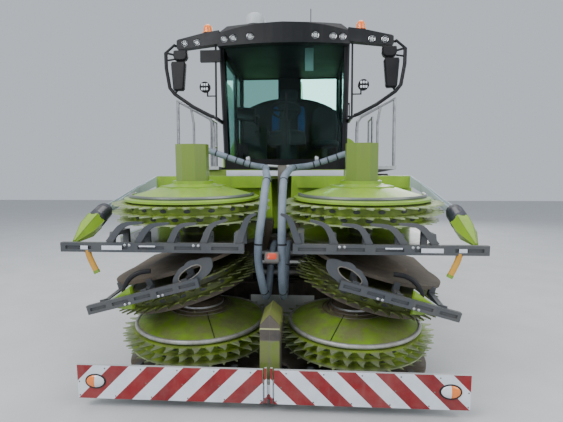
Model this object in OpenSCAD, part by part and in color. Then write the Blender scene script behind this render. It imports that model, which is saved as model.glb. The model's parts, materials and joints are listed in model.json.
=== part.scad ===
// Self-propelled forage harvester with its row-independent header folded for the road.
// Millimetres. Ground at z = 0, +Z up, the machine drives towards -Y, its left side is +X.
// Every module is drawn with the front axle at y = 0, and place() sets it in the part's own frame.

/* [Vehicle] */
// Distance between the axles
wheelbase = 3150; // [3000:50:3300]
// From the front axle to the foremost point of the header
front_overhang = 3050; // [3040:10:3100]
// From the rear axle to the back of the hood
rear_overhang = 2000; // [1800:50:2200]
// Distance between the middles of the two tyres of an axle
track = 2300; // [2280:10:2340]
// Height of the cab floor
floor_z = 2050; // [2030:10:2070]
// Top of the engine hood
hood_z = 2750; // [2650:25:2800]
// Width over the body's side panels
body_w = 2520; // [2440:20:2560]
// Thickness of the body's moulded panels
panel_t = 30; // [20:2:40]

/* [Wheels] */
// Outer diameter of a front tyre
front_tyre_d = 1980; // [1940:10:2000]
// Width of a front tyre
front_tyre_w = 680; // [600:20:700]
// Diameter of a front rim at its bead
front_rim_d = 900; // [840:20:960]
// Outer diameter of a rear tyre
rear_tyre_d = 1440; // [1400:10:1460]
// Width of a rear tyre
rear_tyre_w = 540; // [480:20:560]
// Diameter of a rear rim at its bead
rear_rim_d = 680; // [640:20:720]
// Lugs on one side of a tyre
lugs = 20; // [16:1:22]
// Height of a lug
lug_h = 45; // [30:5:55]
// Distance of a kingpin from the middle of the machine
kingpin_x = 820; // [810:5:830]

/* [Cab] */
// Outer width of the cab
cab_w = 1600; // [1560:10:1620]
// Thickness of the cab's walls, pillars and door
wall_t = 50; // [40:2:60]
// Thickness of the window glass
glass_t = 8; // [6:1:12]
// Underside of the roof
roof_z = 3560; // [3540:10:3580]
// Thickness of the roof at its middle
roof_h = 190; // [170:10:200]
// Reach of a lamp wing beyond the cab's side
wing_reach = 505; // [480:5:520]
// Gap round the door
door_gap = 6; // [5:1:10]

/* [Spout] */
// Distance of the spout's turning axis behind the front axle
turret_y = 1080; // [1060:10:1110]
// Outer radius of the spout's turret
turret_r = 200; // [180:5:210]
// Width of the spout's channel
spout_w = 340; // [300:10:360]
// Plate thickness of the spout
spout_t = 8; // [6:1:12]

/* [Header] */
// Header height over the ground at the underside of the pans
pan_z = 120; // [100:5:140]
// Distance of the rotors in front of the front axle
disc_y = 2170; // [2150:5:2190]
// Nose-down tilt of the folded header in degrees
tilt = 3.5; // [3:0.1:4]
// Distance of the inner fold hinge from the middle
hinge_a_x = 1530; // [1525:1:1540]
// Height of the inner fold hinge
hinge_a_z = 520; // [515:1:530]
// Distance of the outer fold hinge from the middle with the header unfolded
hinge_b_x = 3079; // [3070:1:3085]
// Height of the outer fold hinge with the header unfolded
hinge_b_z = 114; // [110:1:118]
// Angle through which a side folds
fold_angle = 165; // [164:0.5:166]
// Reach of a rotor's teeth on the middle section
rotor_r = 745; // [730:1:745]
// Reach of a rotor's teeth on the folding sections
mid_rotor_r = 690; // [670:1:690]
// Reach of a rotor's teeth on the end sections
end_rotor_r = 740; // [720:1:740]
// Teeth in one row of a rotor
teeth = 36; // [28:1:40]
// Radius of a fixed rotor axle
axle_r = 70; // [60:1:75]
// Running clearance of pins and axles
run_gap = 0.05; // [0.02:0.01:0.09]
// Radius of the fold hinge pins
hinge_pin_r = 30; // [25:1:34]
// Height of the warning boards
board_h = 282; // [270:2:290]

/* [Hoses] */
// Diameter of the hoses that hang in front of the header
hose_d = 70; // [60:2:74]

/* [Hidden] */
$fn = 48;

GREEN = [0.36, 0.60, 0.14];
GREY = [0.25, 0.26, 0.27];
SILVER = [0.70, 0.71, 0.72];
DARK = [0.09, 0.09, 0.10];

front_axle_y = (front_overhang - wheelbase - rear_overhang) / 2;
half_track = track / 2;
front_hub_z = front_tyre_d / 2;
rear_hub_z = rear_tyre_d / 2;
tail_y = wheelbase + rear_overhang;
half_body = body_w / 2;
body_z = 1500;
split_z = 2300;
half_cab = cab_w / 2;

// Chassis: rails, feed and chopper housing
rail_x = 300;
rail_w = 80;
rail_z = 1000;
rail_top = 1240;
chop_x = 520;
chop_t = 30;
chop_front = -540;
chop_back = 700;
axle_half = 100;
axle_low = front_hub_z - axle_half;
axle_top = front_hub_z + axle_half;
lift_y = -420;
lift_z = 900;
lift_pin_r = 60;
deck_t = 40;
deck_z = floor_z - deck_t;
beam_top = deck_z;
beam_h = 80;
front_beam_y = -860;
rail_front = -340;
rear_beam_y = 1340;

// Header frame: places are given with the header unfolded on level ground
tilt_z = 500;
wall_y = -1400;
wall_th = 20;
pan_t = 30;
row_low = 388;
row_high = 462;
cover_z = 500;
cover_top = 650;
sheet_t = 8;
knife_z = 318;
drum_step = 155;
rotor_base = pan_z + pan_t + 20;
centre_x = 750;
mid_x = 2260;
end_x = 3740;
mid_drop = 60;
cover_r = 620;
end_cover_r = 630;
cap_r = 215;
collar_r = 190;
tower_r = 157;
guard_y = -2990;
guard_t = 40;

function fold_x(x, z) =
    hinge_a_x + (x - hinge_a_x) * cos(fold_angle) - (z - hinge_a_z) * sin(fold_angle);
function fold_z(x, z) =
    hinge_a_z + (x - hinge_a_x) * sin(fold_angle) + (z - hinge_a_z) * cos(fold_angle);
end_shift_x = fold_x(hinge_b_x, hinge_b_z) - hinge_b_x;
end_shift_z = fold_z(hinge_b_x, hinge_b_z) - hinge_b_z;

// Placing helpers
module place() translate([0, front_axle_y, 0]) children();
module header() place() translate([0, -disc_y, tilt_z]) rotate([tilt, 0, 0])
    translate([0, disc_y, -tilt_z]) children();
module side(s) if (s > 0) { children(); } else { mirror([1, 0, 0]) children(); }
module both() { children(); mirror([1, 0, 0]) children(); }
module fold_mid(s) header() side(s) translate([hinge_a_x, 0, hinge_a_z])
    rotate([0, -fold_angle, 0]) translate([-hinge_a_x, 0, -hinge_a_z]) children();
module fold_end(s) header() side(s) translate([end_shift_x, 0, end_shift_z]) children();

// Shape helpers
module box(x0, x1, y0, y1, z0, z1) translate([x0, y0, z0]) cube([x1 - x0, y1 - y0, z1 - z0]);
module rod_x(r, x0, x1, y, z) translate([x0, y, z]) rotate([0, 90, 0]) cylinder(r = r, h = x1 - x0);
module rod_y(r, x, y0, y1, z) translate([x, y1, z]) rotate([90, 0, 0]) cylinder(r = r, h = y1 - y0);
module rod_z(r, x, y, z0, z1) translate([x, y, z0]) cylinder(r = r, h = z1 - z0);
// Outline in y and z, carried along x
module along_x(x0, x1) translate([x0, 0, 0]) rotate([90, 0, 90]) linear_extrude(x1 - x0) children();
// Outline in x and z, carried along y
module along_y(y0, y1) translate([0, y1, 0]) rotate([90, 0, 0]) linear_extrude(y1 - y0) children();
// Round bar between two points
module strut(a, b, r) {
    d = b - a;
    len = norm(d);
    translate(a) rotate([0, acos(d.z / len), atan2(d.y, d.x)]) cylinder(r = r, h = len, $fn = 16);
}
// Outline in plan with a bowed front edge
module bowed(w, y_front, y_back, bow) {
    bow_r = (w * w + bow * bow) / (2 * bow);
    polygon(concat(
        [[w, y_back]],
        [for (i = [0:14]) let (x = w * (1 - i / 7)) [x, y_front + bow_r - sqrt(bow_r * bow_r - x * x)]],
        [[-w, y_back]]
    ));
}
// Bent tube through a row of points, each bend a ball that stands a little proud of the tube
bend_swell = 1.08;
module bend_ball(p, r) translate(p) sphere(r * bend_swell, $fn = 16);
module bent_tube(points, r) {
    for (i = [1:len(points) - 1]) strut(points[i - 1], points[i], r);
    for (i = [1:len(points) - 2]) bend_ball(points[i], r);
}
module rounded(w, h, r) {
    square([w - 2 * r, h], center = true);
    square([w, h - 2 * r], center = true);
    for (x = [-1, 1], y = [-1, 1]) translate([x * (w / 2 - r), y * (h / 2 - r)]) circle(r);
}

// Wheels
module tyre_profile(r, w, rim_r) {
    shoulder = w * 0.12;
    polygon([
        [rim_r, -w * 0.40], [rim_r + 40, -w * 0.46], [(r + rim_r) / 2, -w / 2],
        [r - shoulder, -w * 0.48], [r, -w * 0.38], [r, w * 0.38], [r - shoulder, w * 0.48],
        [(r + rim_r) / 2, w / 2], [rim_r + 40, w * 0.46], [rim_r, w * 0.40]
    ]);
}
module tyre(d, w, rim_d) {
    carcass_r = d / 2 - lug_h;
    pitch = 360 / lugs;
    lug_t = PI * d / lugs * 0.26;
    rotate([0, 90, 0]) {
        rotate_extrude() tyre_profile(carcass_r, w, rim_d / 2);
        intersection() {
            rotate_extrude() polygon([
                [carcass_r - 30, -w * 0.46], [carcass_r + 8, -w * 0.49], [d / 2, -w * 0.44],
                [d / 2, w * 0.44], [carcass_r + 8, w * 0.49], [carcass_r - 30, w * 0.46]
            ]);
            for (i = [0:lugs - 1], s = [-1, 1])
                rotate([0, 0, (i + s / 4) * pitch]) translate([carcass_r - 40, 0, s * w * 0.25])
                    rotate([s * 38, 0, 0]) translate([0, -lug_t / 2, -w * 0.36])
                        cube([lug_h + 60, lug_t, w * 0.72]);
        }
    }
}
module rim(d, w, hub_r, inset) {
    r = d / 2;
    rotate([0, 90, 0]) difference() {
        rotate_extrude() polygon([
            [r - 22, -w * 0.40], [r, -w * 0.40], [r, w * 0.40], [r - 22, w * 0.40],
            [r - 22, inset + 14], [hub_r + 60, inset + 40], [hub_r, inset + 40],
            [hub_r, inset + 12], [hub_r + 50, inset + 12], [r - 34, inset - 16], [r - 22, inset - 30]
        ]);
        for (i = [0:9]) rotate([0, 0, i * 36]) translate([hub_r + 30, 0, inset - 50])
            cylinder(r = 11, h = 120, $fn = 16);
    }
}
module front_wheel_place(s) place() side(s) translate([half_track, 0, front_hub_z]) children();
module rear_wheel_place(s) place() side(s) translate([half_track, wheelbase, rear_hub_z]) children();
module front_tyre(s) color(DARK) front_wheel_place(s) tyre(front_tyre_d, front_tyre_w, front_rim_d);
module rear_tyre(s) color(DARK) rear_wheel_place(s) tyre(rear_tyre_d, rear_tyre_w, rear_rim_d);
front_hub_r = 120;
rear_hub_r = 80;
module front_rim(s) color("firebrick") front_wheel_place(s) {
    rim(front_rim_d, front_tyre_w, front_hub_r + run_gap, 60);
}
module rear_rim(s) color("firebrick") rear_wheel_place(s) {
    rim(rear_rim_d, rear_tyre_w, rear_hub_r + run_gap, 60);
}

// Chassis
yoke_h = 110;
yoke_t = 50;
module chassis_frame() color(GREEN) place() difference() {
    union() {
        both() {
            box(rail_x, rail_x + rail_w, rail_front, tail_y - 500, rail_z, rail_top);
            // Side plates of the chopper housing
            along_x(chop_x - chop_t, chop_x) polygon([
                [chop_front, 800], [chop_front + 160, 640], [chop_back - 200, 640], [chop_back, 900],
                [chop_back, 1900], [chop_front + 200, 1900], [chop_front, 1100]
            ]);
            // Clevis of the lift cylinder
            box(cyl_x - 40, chop_x, barrel_pin_y - 40, barrel_pin_y + 40, 600, 700);
            for (x = [cyl_x - 40, cyl_x + 27])
                box(x, x + 13, barrel_pin_y - 40, barrel_pin_y + 40, barrel_pin_z - 40, 700);
            rod_x(cyl_pin_r, cyl_x - 40, cyl_x + 40, barrel_pin_y, barrel_pin_z);
            // Cab posts
            box(half_cab - 180, half_cab - 100, -340, -260, rail_top, beam_top - beam_h);
            box(half_cab - 180, half_cab - 100, rear_beam_y - 40, rear_beam_y + 40, rail_top, beam_top - beam_h);
            box(rail_x, half_cab - 100, -340, -260, 1160, rail_top);
            box(rail_x, half_cab - 100, rear_beam_y - 40, rear_beam_y + 40, 1160, rail_top);
            // Outriggers that carry the side panels
            for (y = [2200, tail_y - 700])
                box(rail_x, half_body - panel_t, y, y + 80, body_z - 80, body_z);
            for (y = [2200, tail_y - 700])
                box(rail_x, rail_x + rail_w, y, y + 80, rail_top, body_z - 80);
            // Platform beams along the cab
            box(half_cab - 180, half_cab - 100, front_beam_y, rear_beam_y + 40, beam_top - beam_h, beam_top);
        }
        // Chopper housing shell between its side plates
        along_x(-chop_x + chop_t, chop_x - chop_t) polygon([
            [-100, 1180], [500, 1180], [500, 1900], [100, 1900], [-100, 1500]
        ]);
        for (y = [front_beam_y, rear_beam_y - 40])
            box(-half_body + 120, half_body - 120, y, y + 80, beam_top - beam_h, beam_top);
        for (y = [800, 2200, 2900, 4300])
            box(-rail_x, rail_x, y, y + 80, rail_z, rail_top);
        // Rear axle bracket
        box(-rail_x, rail_x, wheelbase - 150, wheelbase + 150, rear_hub_z + 90, rail_top - 60);
        // Blower duct up to the spout
        rod_z(turret_r, 0, turret_y, 1180, 2500);
        box(-chop_x + chop_t, chop_x - chop_t, 500, turret_y - turret_r + 60, 1180, 1400);
        // Rear cross member with the drawbar clevis
        box(-rail_x - rail_w, rail_x + rail_w, tail_y - 540, tail_y - 480, 760, rail_top);
        difference() {
            union() {
                box(-70, 70, tail_y - 480, tail_y - 300, 800, 830);
                box(-70, 70, tail_y - 480, tail_y - 300, 900, 930);
            }
            rod_z(19, 0, tail_y - 350, 790, 940);
        }
    }
    // Seat of the front axle beam
    box(-chop_x - 1, chop_x + 1, -axle_half, axle_half, axle_low, axle_top);
    // Pivot bores of the header
    rod_x(lift_pin_r + run_gap, -chop_x - 1, chop_x + 1, lift_y, lift_z);
    for (x = [-200, 200], z = [860, 1160])
        rod_y(11, x, tail_y - 560, tail_y - 460, z);
}
module front_axle() color(GREY) place() {
    box(-780, 780, -axle_half, axle_half, axle_low, axle_top);
    both() {
        rod_x(210, 620, 790, 0, front_hub_z);
        rod_x(160, 790, 830, 0, front_hub_z);
        rod_x(front_hub_r, 830, half_track + 110, 0, front_hub_z);
        rod_x(80, half_track + 110, half_track + 150, 0, front_hub_z);
    }
}
module rear_axle() color(GREY) place() difference() {
    union() {
        box(-kingpin_x + 100, kingpin_x - 100, wheelbase - 70, wheelbase + 70, rear_hub_z - 90, rear_hub_z + 90);
        both() for (z = [rear_hub_z - yoke_h - yoke_t, rear_hub_z + yoke_h])
            box(kingpin_x - 120, kingpin_x + 55, wheelbase - 60, wheelbase + 60, z, z + yoke_t);
        both() box(kingpin_x - 120, kingpin_x - 100, wheelbase - 60, wheelbase + 60,
            rear_hub_z - yoke_h - yoke_t, rear_hub_z + yoke_h + yoke_t);
    }
    both() rod_z(30 + run_gap, kingpin_x, wheelbase, rear_hub_z - 200, rear_hub_z + 200);
}
module knuckle(s) color(GREY) place() side(s) {
    box(kingpin_x - 60, kingpin_x + 45, wheelbase - 50, wheelbase + 50,
        rear_hub_z - yoke_h + 1, rear_hub_z + yoke_h - 1);
    rod_z(30, kingpin_x, wheelbase, rear_hub_z - yoke_h - yoke_t, rear_hub_z + yoke_h + yoke_t);
    rod_x(rear_hub_r, kingpin_x + 40, half_track + 110, wheelbase, rear_hub_z);
    rod_x(50, half_track + 110, half_track + 140, wheelbase, rear_hub_z);
}
engine_half = 620;
engine_front = 3050;
engine_back = 4150;
engine_top = 2150;
module engine_block() color(GREY) place() {
    // Lower edges cut back for the turned tyres
    along_y(engine_front, engine_back) polygon([
        [-engine_half + 60, rail_top], [engine_half - 60, rail_top], [engine_half, rail_top + 60],
        [engine_half, 1500], [-engine_half, 1500], [-engine_half, rail_top + 60]
    ]);
    box(-engine_half + 140, engine_half - 140, engine_front + 40, engine_back - 60, 1490, engine_top - 120);
    both() box(120, engine_half - 180, engine_front + 80, engine_back - 120, engine_top - 121, engine_top);
    for (x = [-260, 0, 260]) rod_y(70, x, engine_front - 40, engine_front + 1, 1400);
    rod_y(150, 0, engine_front - 60, engine_front + 41, 1700);
}

// Body
module body_outline(inset) {
    w = half_body - inset;
    r = 260 - inset;
    top = hood_z - inset;
    translate([-w, body_z]) square([2 * w, top - body_z - r]);
    translate([-w + r, body_z]) square([2 * (w - r), top - body_z]);
    for (x = [-w + r, w - r]) translate([x, top - r]) circle(r);
}
module body_tube(y0, y1, z0, z1) intersection() {
    along_y(y0, y1) difference() {
        body_outline(0);
        body_outline(panel_t);
    }
    box(-half_body, half_body, y0, y1, z0, z1);
}
body_y = 2150;
module body_panels() color(GREEN) place() {
    body_tube(body_y, tail_y, body_z, split_z);
    // Skirts between the wheels
    both() along_x(half_body - panel_t, half_body) polygon([
        [1420, 900], [2100, 900], [body_y, 1150], [body_y, split_z], [1420, split_z]
    ]);
    // Shoulder behind the cab
    both() box(half_cab - 60, half_body - panel_t, 1420, 1420 + panel_t, beam_top, split_z);
    box(-half_body, half_body, 1420, body_y, split_z, split_z + panel_t);
}
module engine_hood() color(GREEN) place() {
    body_tube(body_y, tail_y, split_z + panel_t, hood_z);
    // Front and back walls
    for (y = [body_y, tail_y - panel_t]) intersection() {
        along_y(y, y + panel_t) body_outline(panel_t);
        box(-half_body, half_body, y, y + panel_t, split_z + panel_t, hood_z);
    }
}
module grille(w, h, t) difference() {
    translate([-w / 2, 0, -h / 2]) cube([w, t, h]);
    for (i = [0:6]) translate([-w / 2 + 40, -1, -h / 2 + h * (i + 0.3) / 7])
        cube([w - 80, t + 2, h * 0.4 / 7]);
}
side_grille_y = 3600;
side_grille_z = 1950;
side_grille_w = 1300;
side_grille_h = 520;
rear_grille_z = 1900;
module air_grilles() color(DARK) place() {
    translate([0, tail_y - panel_t, rear_grille_z])
        grille(2 * (half_body - panel_t), 2 * (split_z - rear_grille_z), panel_t);
    both() translate([half_body, side_grille_y, side_grille_z]) rotate([0, 0, -90])
        grille(side_grille_w, side_grille_h, 12);
}
module exhaust_pipe() color(SILVER) place() rod_z(70, 700, 2500, hood_z, hood_z + 140);

// Platforms, rails and ladder
plat_x0 = half_cab + 40;
plat_x1 = 1400;
module cab_platforms() color(GREY) place() both() {
    box(plat_x0, plat_x1, -900, 1420, beam_top, beam_top + deck_t);
}
rail_r = 19;
hand_y = -870;
rear_hand_x = 1370;
rear_hand_z = 2950;
rear_hand_y = [980, 1390];
step_x = 1400;
step_y = [1060, 1380];
step_low = 640;
step_rise = 300;
module rails_and_ladder() color(SILVER) place() {
    // Handrail in front of each platform, its top sloping down to the cab
    both() {
        bent_tube([[1370, hand_y, floor_z], [1370, hand_y, 2886], [957, hand_y, 2660], [918, hand_y, 2600],
            [910, hand_y, 2500], [910, hand_y, floor_z]], rail_r);
        bent_tube([[1166, hand_y, floor_z], [1166, hand_y, 2600], [1200, hand_y, 2793]], rail_r * 0.8);
        bent_tube([[rear_hand_x, rear_hand_y[0], floor_z], [rear_hand_x, rear_hand_y[0], rear_hand_z],
            [rear_hand_x, rear_hand_y[1], rear_hand_z], [rear_hand_x, rear_hand_y[1], floor_z]], rail_r);
        rod_y(rail_r * 0.7, rear_hand_x, rear_hand_y[0], rear_hand_y[1], (floor_z + rear_hand_z) / 2);
    }
    // Ladder on the left side behind the front wheel
    for (y = step_y) box(step_x, step_x + 40, y - 15, y + 15, step_low - 20, floor_z);
    for (i = [0:4]) box(step_x, step_x + 130, step_y[0] - 15, step_y[1] + 15,
        step_low + i * step_rise, step_low + 30 + i * step_rise);
}

// Cab
ws_bottom = -760;
ws_top = -1060;
ws_bulge = 130;
cab_back = 600;
module cab_plan(y_front, inset) {
    w = half_cab - inset;
    chord = w - 25;
    bulge_r = (chord * chord + ws_bulge * ws_bulge) / (2 * ws_bulge);
    polygon(concat(
        [[w, cab_back - inset], [w, y_front + inset + 40]],
        [for (i = [0:10]) let (x = chord * (1 - i / 5))
            [x, y_front + inset - (sqrt(bulge_r * bulge_r - x * x) - bulge_r + ws_bulge)]],
        [[-w, y_front + inset + 40], [-w, cab_back - inset]]
    ));
}
module cab_solid(inset) hull() {
    translate([0, 0, inset > 0 ? floor_z : beam_top]) linear_extrude(1) cab_plan(ws_bottom, inset);
    translate([0, 0, roof_z - (inset > 0 ? wall_t : 0) - 1]) linear_extrude(1) cab_plan(ws_top, inset);
}
door_back = 80;
module door_outline(g) polygon([
    [door_back - g, floor_z + 40 + g], [door_back - g, roof_z - 60 - g],
    [ws_top + 130 + g, roof_z - 60 - g], [ws_bottom + 90 + g, floor_z + 40 + g]
]);
module door_window(g) polygon([
    [door_back - 90 - g, floor_z + 160 + g], [door_back - 90 - g, roof_z - 150 - g],
    [ws_top + 250 + g, roof_z - 150 - g], [ws_bottom + 200 + g, floor_z + 160 + g]
]);
module windows() {
    // Windscreen opening
    along_y(-1400, ws_bottom + 160) polygon([
        [-half_cab + 70, floor_z + 90], [half_cab - 70, floor_z + 90],
        [half_cab - 70, roof_z - 60], [-half_cab + 70, roof_z - 60]
    ]);
    // Rear side windows
    along_x(-half_cab - 1, half_cab + 1) polygon([
        [door_back + 80, floor_z + 400], [cab_back - 90, floor_z + 400],
        [cab_back - 90, roof_z - 100], [door_back + 80, roof_z - 100]
    ]);
    // Rear window
    both() along_y(cab_back - 200, cab_back + 1)
        translate([180, floor_z + 500]) square([half_cab - 60 - 180, roof_z - floor_z - 560]);
    // Window of the right side
    along_x(-half_cab - 1, 0) door_window(0);
}
module cab_shell() color(DARK) place() {
    difference() {
        cab_solid(0);
        cab_solid(wall_t);
        windows();
        along_x(0, half_cab + 1) door_outline(0);
    }
    door_hinge_fixed();
}
module cab_glass() color([0.55, 0.68, 0.60, 0.5]) place() intersection() {
    difference() {
        cab_solid(12);
        cab_solid(12 + glass_t);
    }
    windows();
}
door_hinge_x = half_cab + 30;
door_hinge_z = [2300, 3100];
door_pin_r = 8;
handle_y = -760;
handle_z = 2680;
module door_hinge_fixed() for (z = door_hinge_z) {
    rod_z(door_pin_r, door_hinge_x, door_back, z - 30, z + 80);
    for (k = [z - 30, z + 51]) {
        rod_z(18, door_hinge_x, door_back, k, k + 29);
        box(half_cab, door_hinge_x, door_back + 4, door_back + 18, k, k + 29);
    }
}
module door_hinge_moving() for (z = door_hinge_z) {
    rod_z(18, door_hinge_x, door_back, z, z + 50);
    box(half_cab - 5, door_hinge_x, door_back - 18, door_back - 4 - door_gap, z, z + 50);
}
module cab_door() color(DARK) place() difference() {
    union() {
        difference() {
            along_x(half_cab - wall_t, half_cab) door_outline(door_gap);
            along_x(0, half_cab + 1) door_window(0);
        }
        door_hinge_moving();
        // Handle
        for (z = [handle_z, handle_z + 160]) box(half_cab, half_cab + 30, handle_y, handle_y + 25, z, z + 20);
        box(half_cab + 18, half_cab + 30, handle_y, handle_y + 25, handle_z, handle_z + 180);
    }
    rod_z(door_pin_r + run_gap, door_hinge_x, door_back, 2200, 3300);
}
module door_glass() color([0.55, 0.68, 0.60, 0.5]) place()
    along_x(half_cab - 30, half_cab - 30 + glass_t) door_window(0);
fascia_x = half_cab - 15;
fascia_y = -1300;
fascia_t = 100;
fascia_bow = 130;
fascia_low = roof_z - 105;
fascia_lamps = [[380, -1270], [587, -1228], [700, -1197]];
fascia_lamp_z = roof_z - 20;
lamp_r = 39;
lamp_recess = 24;
wing_x = half_cab + wing_reach;
wing_lamps = [[1043, -1137.3], [1199, -1115.1]];
beacon_x = half_cab + 120;
beacon_y = -1080;
beacon_z = roof_z + 90;
module fascia() difference() {
    intersection() {
        translate([0, 0, fascia_low - 10]) linear_extrude(270) difference() {
            bowed(fascia_x, fascia_y, fascia_y + 300, fascia_bow);
            bowed(fascia_x + 20, fascia_y + fascia_t, fascia_y + 400, fascia_bow);
        }
        along_y(fascia_y - 1, fascia_y + 301) polygon([
            [-fascia_x - 1, roof_z - 93], [-500, roof_z - 102], [0, fascia_low], [500, roof_z - 102],
            [fascia_x + 1, roof_z - 93], [fascia_x + 1, roof_z + 52], [fascia_x - 25, roof_z + 60],
            [490, roof_z + 100], [250, roof_z + 122], [0, roof_z + 130], [-250, roof_z + 122],
            [-490, roof_z + 100], [-fascia_x + 25, roof_z + 60], [-fascia_x - 1, roof_z + 52]
        ]);
    }
    both() for (l = fascia_lamps) rod_y(lamp_r + 8, l.x, fascia_y - 100, l.y + lamp_recess, fascia_lamp_z);
}
// Lamp wing, sloping down and back from the fascia's end
module wing() difference() {
    intersection() {
        translate([0, 0, roof_z - 200]) linear_extrude(400) polygon([
            [fascia_x - 20, -1177], [wing_x, -1100], [wing_x, -1010], [fascia_x - 20, -1075]
        ]);
        along_y(-1300, -900) polygon([
            [fascia_x - 20, roof_z - 62], [wing_x - 130, roof_z - 92], [wing_x - 20, roof_z - 98],
            [wing_x, roof_z - 84], [wing_x, roof_z + 8], [wing_x - 20, roof_z + 20],
            [fascia_x + 150, roof_z + 80], [fascia_x - 20, roof_z + 94]
        ]);
    }
    for (l = wing_lamps) rod_y(lamp_r + 7, l.x, -1300, l.y + 18, roof_z - 33);
}
module cab_roof() color(DARK) place() {
    fascia();
    both() {
        wing();
        rod_z(58, beacon_x, beacon_y, roof_z + 30, beacon_z);
    }
    hull() {
        translate([0, 0, roof_z]) linear_extrude(60)
            bowed(half_cab + 12, fascia_y + 50, cab_back + 40, fascia_bow);
        translate([0, 0, roof_z + roof_h - 30]) linear_extrude(14)
            bowed(half_cab - 110, fascia_y + 130, cab_back - 70, 100);
        translate([0, 0, roof_z + roof_h - 1]) linear_extrude(1)
            bowed(half_cab - 260, fascia_y + 270, cab_back - 220, 80);
    }
    // Hatch ribs over the cap
    for (x = [-360, 360]) box(x - 20, x + 20, -700, 300, roof_z + roof_h - 4, roof_z + roof_h + 8);
}
module cab_interior() color(GREY) place() {
    z0 = floor_z;
    rod_z(160, 0, -80, z0, z0 + 330);
    box(-260, 260, -330, 220, z0 + 330, z0 + 470);
    translate([0, 220, z0 + 420]) rotate([-12, 0, 0]) translate([-250, 0, 0]) cube([500, 110, 620]);
    translate([0, 220, z0 + 420]) rotate([-12, 0, 0]) translate([-140, 10, 640]) cube([280, 90, 190]);
    translate([0, 220, z0 + 420]) rotate([-12, 0, 0]) translate([-60, 30, 600]) cube([120, 40, 60]);
    box(-520, -270, -420, 260, z0, z0 + 560);
    box(-420, -360, -620, -400, z0 + 480, z0 + 560);
    box(-60, 60, -700, -600, z0, z0 + 620);
    translate([0, -640, z0 + 600]) rotate([-25, 0, 0]) cylinder(r = 30, h = 180);
    translate([0, -640, z0 + 600]) rotate([-25, 0, 0]) translate([0, 0, 180]) rotate_extrude()
        translate([190, 0]) circle(16, $fn = 16);
    translate([0, -640, z0 + 600]) rotate([-25, 0, 0]) translate([-190, -16, 170]) cube([380, 32, 16]);
}
stalk_lamp_x = half_cab + 155;
stalk_lamp_z = 3000;
stalk_lamp_r = 65;
tail_lamp_z = 1540;
module lamps() color("white") place() both() {
    for (l = fascia_lamps) rod_y(lamp_r, l.x, l.y + 4, l.y + lamp_recess, fascia_lamp_z);
    for (l = wing_lamps) rod_y(lamp_r, l.x, l.y, l.y + 18, roof_z - 33);
    rod_y(stalk_lamp_r - 11, stalk_lamp_x, mirror_y - 42, mirror_y - 30, stalk_lamp_z);
    box(half_body - 140, half_body - 5, tail_y, tail_y + 24, tail_lamp_z, tail_lamp_z + 100);
}
module beacons() color("orange") place() both() translate([beacon_x, beacon_y, beacon_z])
    rotate_extrude() polygon([[0, 0], [62, 0], [62, 12], [54, 18], [53, 60], [44, 86], [26, 104], [0, 110]]);
mirror_y = -1100;
post_x = half_cab + 22;
mirror_r = 15;
module mirror_head(outline_lift) {
    hull() {
        along_y(mirror_y - 20, mirror_y + 28) children();
        along_y(mirror_y - 46, mirror_y - 20) offset(delta = -outline_lift) children();
    }
}
module mirrors() color(DARK) place() {
    both() {
        // Clamp on the cab's front pillar and the black post on it
        box(half_cab, half_cab + 24, mirror_y - 14, -772, 2600, 2640);
        rod_z(12, post_x, mirror_y, 2601, roof_z - 74);
        // Loop from the pillar round the mirrors to the tip of the wing
        bent_tube([[post_x, mirror_y, 2624], [900, mirror_y, 2660], [1110, mirror_y, 2770],
            [1335, mirror_y, 2925], [1395, mirror_y, 3000], [1436, mirror_y, 3240], [1440, mirror_y, 3424],
            [wing_x + 34, mirror_y + 20, roof_z - 40], [wing_x + 30, mirror_y + 50, roof_z - 40],
            [wing_x + 10, mirror_y + 50, roof_z - 40]], mirror_r);
        rod_x(mirror_r, wing_x, wing_x + 20, mirror_y + 50, roof_z - 40);
        mirror_head(14) polygon([
            [1200, 3312], [1190, 3285], [1214, 2990], [1232, 2965], [1336, 2965], [1350, 2990],
            [1373, 3285], [1362, 3312]
        ]);
        mirror_head(16) polygon([
            [1170, 3446], [1165, 3370], [1185, 3330], [1215, 3318], [1295, 3318], [1325, 3332],
            [1342, 3375], [1338, 3440], [1320, 3446]
        ]);
        box(1262, 1290, mirror_y - 10, mirror_y + 15, 3300, 3330);
        strut([1335, mirror_y, 2925], [1300, mirror_y, 2975], 13);
        strut([1440, mirror_y, 3424], [1325, mirror_y, 3395], 13);
        strut([1438, mirror_y, 3330], [1335, mirror_y, 3345], 11);
        // Round work lamp on a stalk
        rod_y(stalk_lamp_r, stalk_lamp_x, mirror_y - 30, mirror_y + 8, stalk_lamp_z);
        box(post_x, stalk_lamp_x - 20, mirror_y - 8, mirror_y + 8, stalk_lamp_z - 110, stalk_lamp_z - 98);
        box(stalk_lamp_x - 36, stalk_lamp_x - 20, mirror_y - 8, mirror_y + 8, stalk_lamp_z - 110,
            stalk_lamp_z - 50);
    }
    box(-1010, -760, mirror_y - 24, mirror_y + 24, 3303, 3440);
}
module roof_receiver() color(SILVER) place() {
    rod_z(130, 0, -700, roof_z + roof_h, roof_z + roof_h + 60);
    rod_z(6, 330, -300, roof_z + roof_h, roof_z + roof_h + 480);
}

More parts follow.
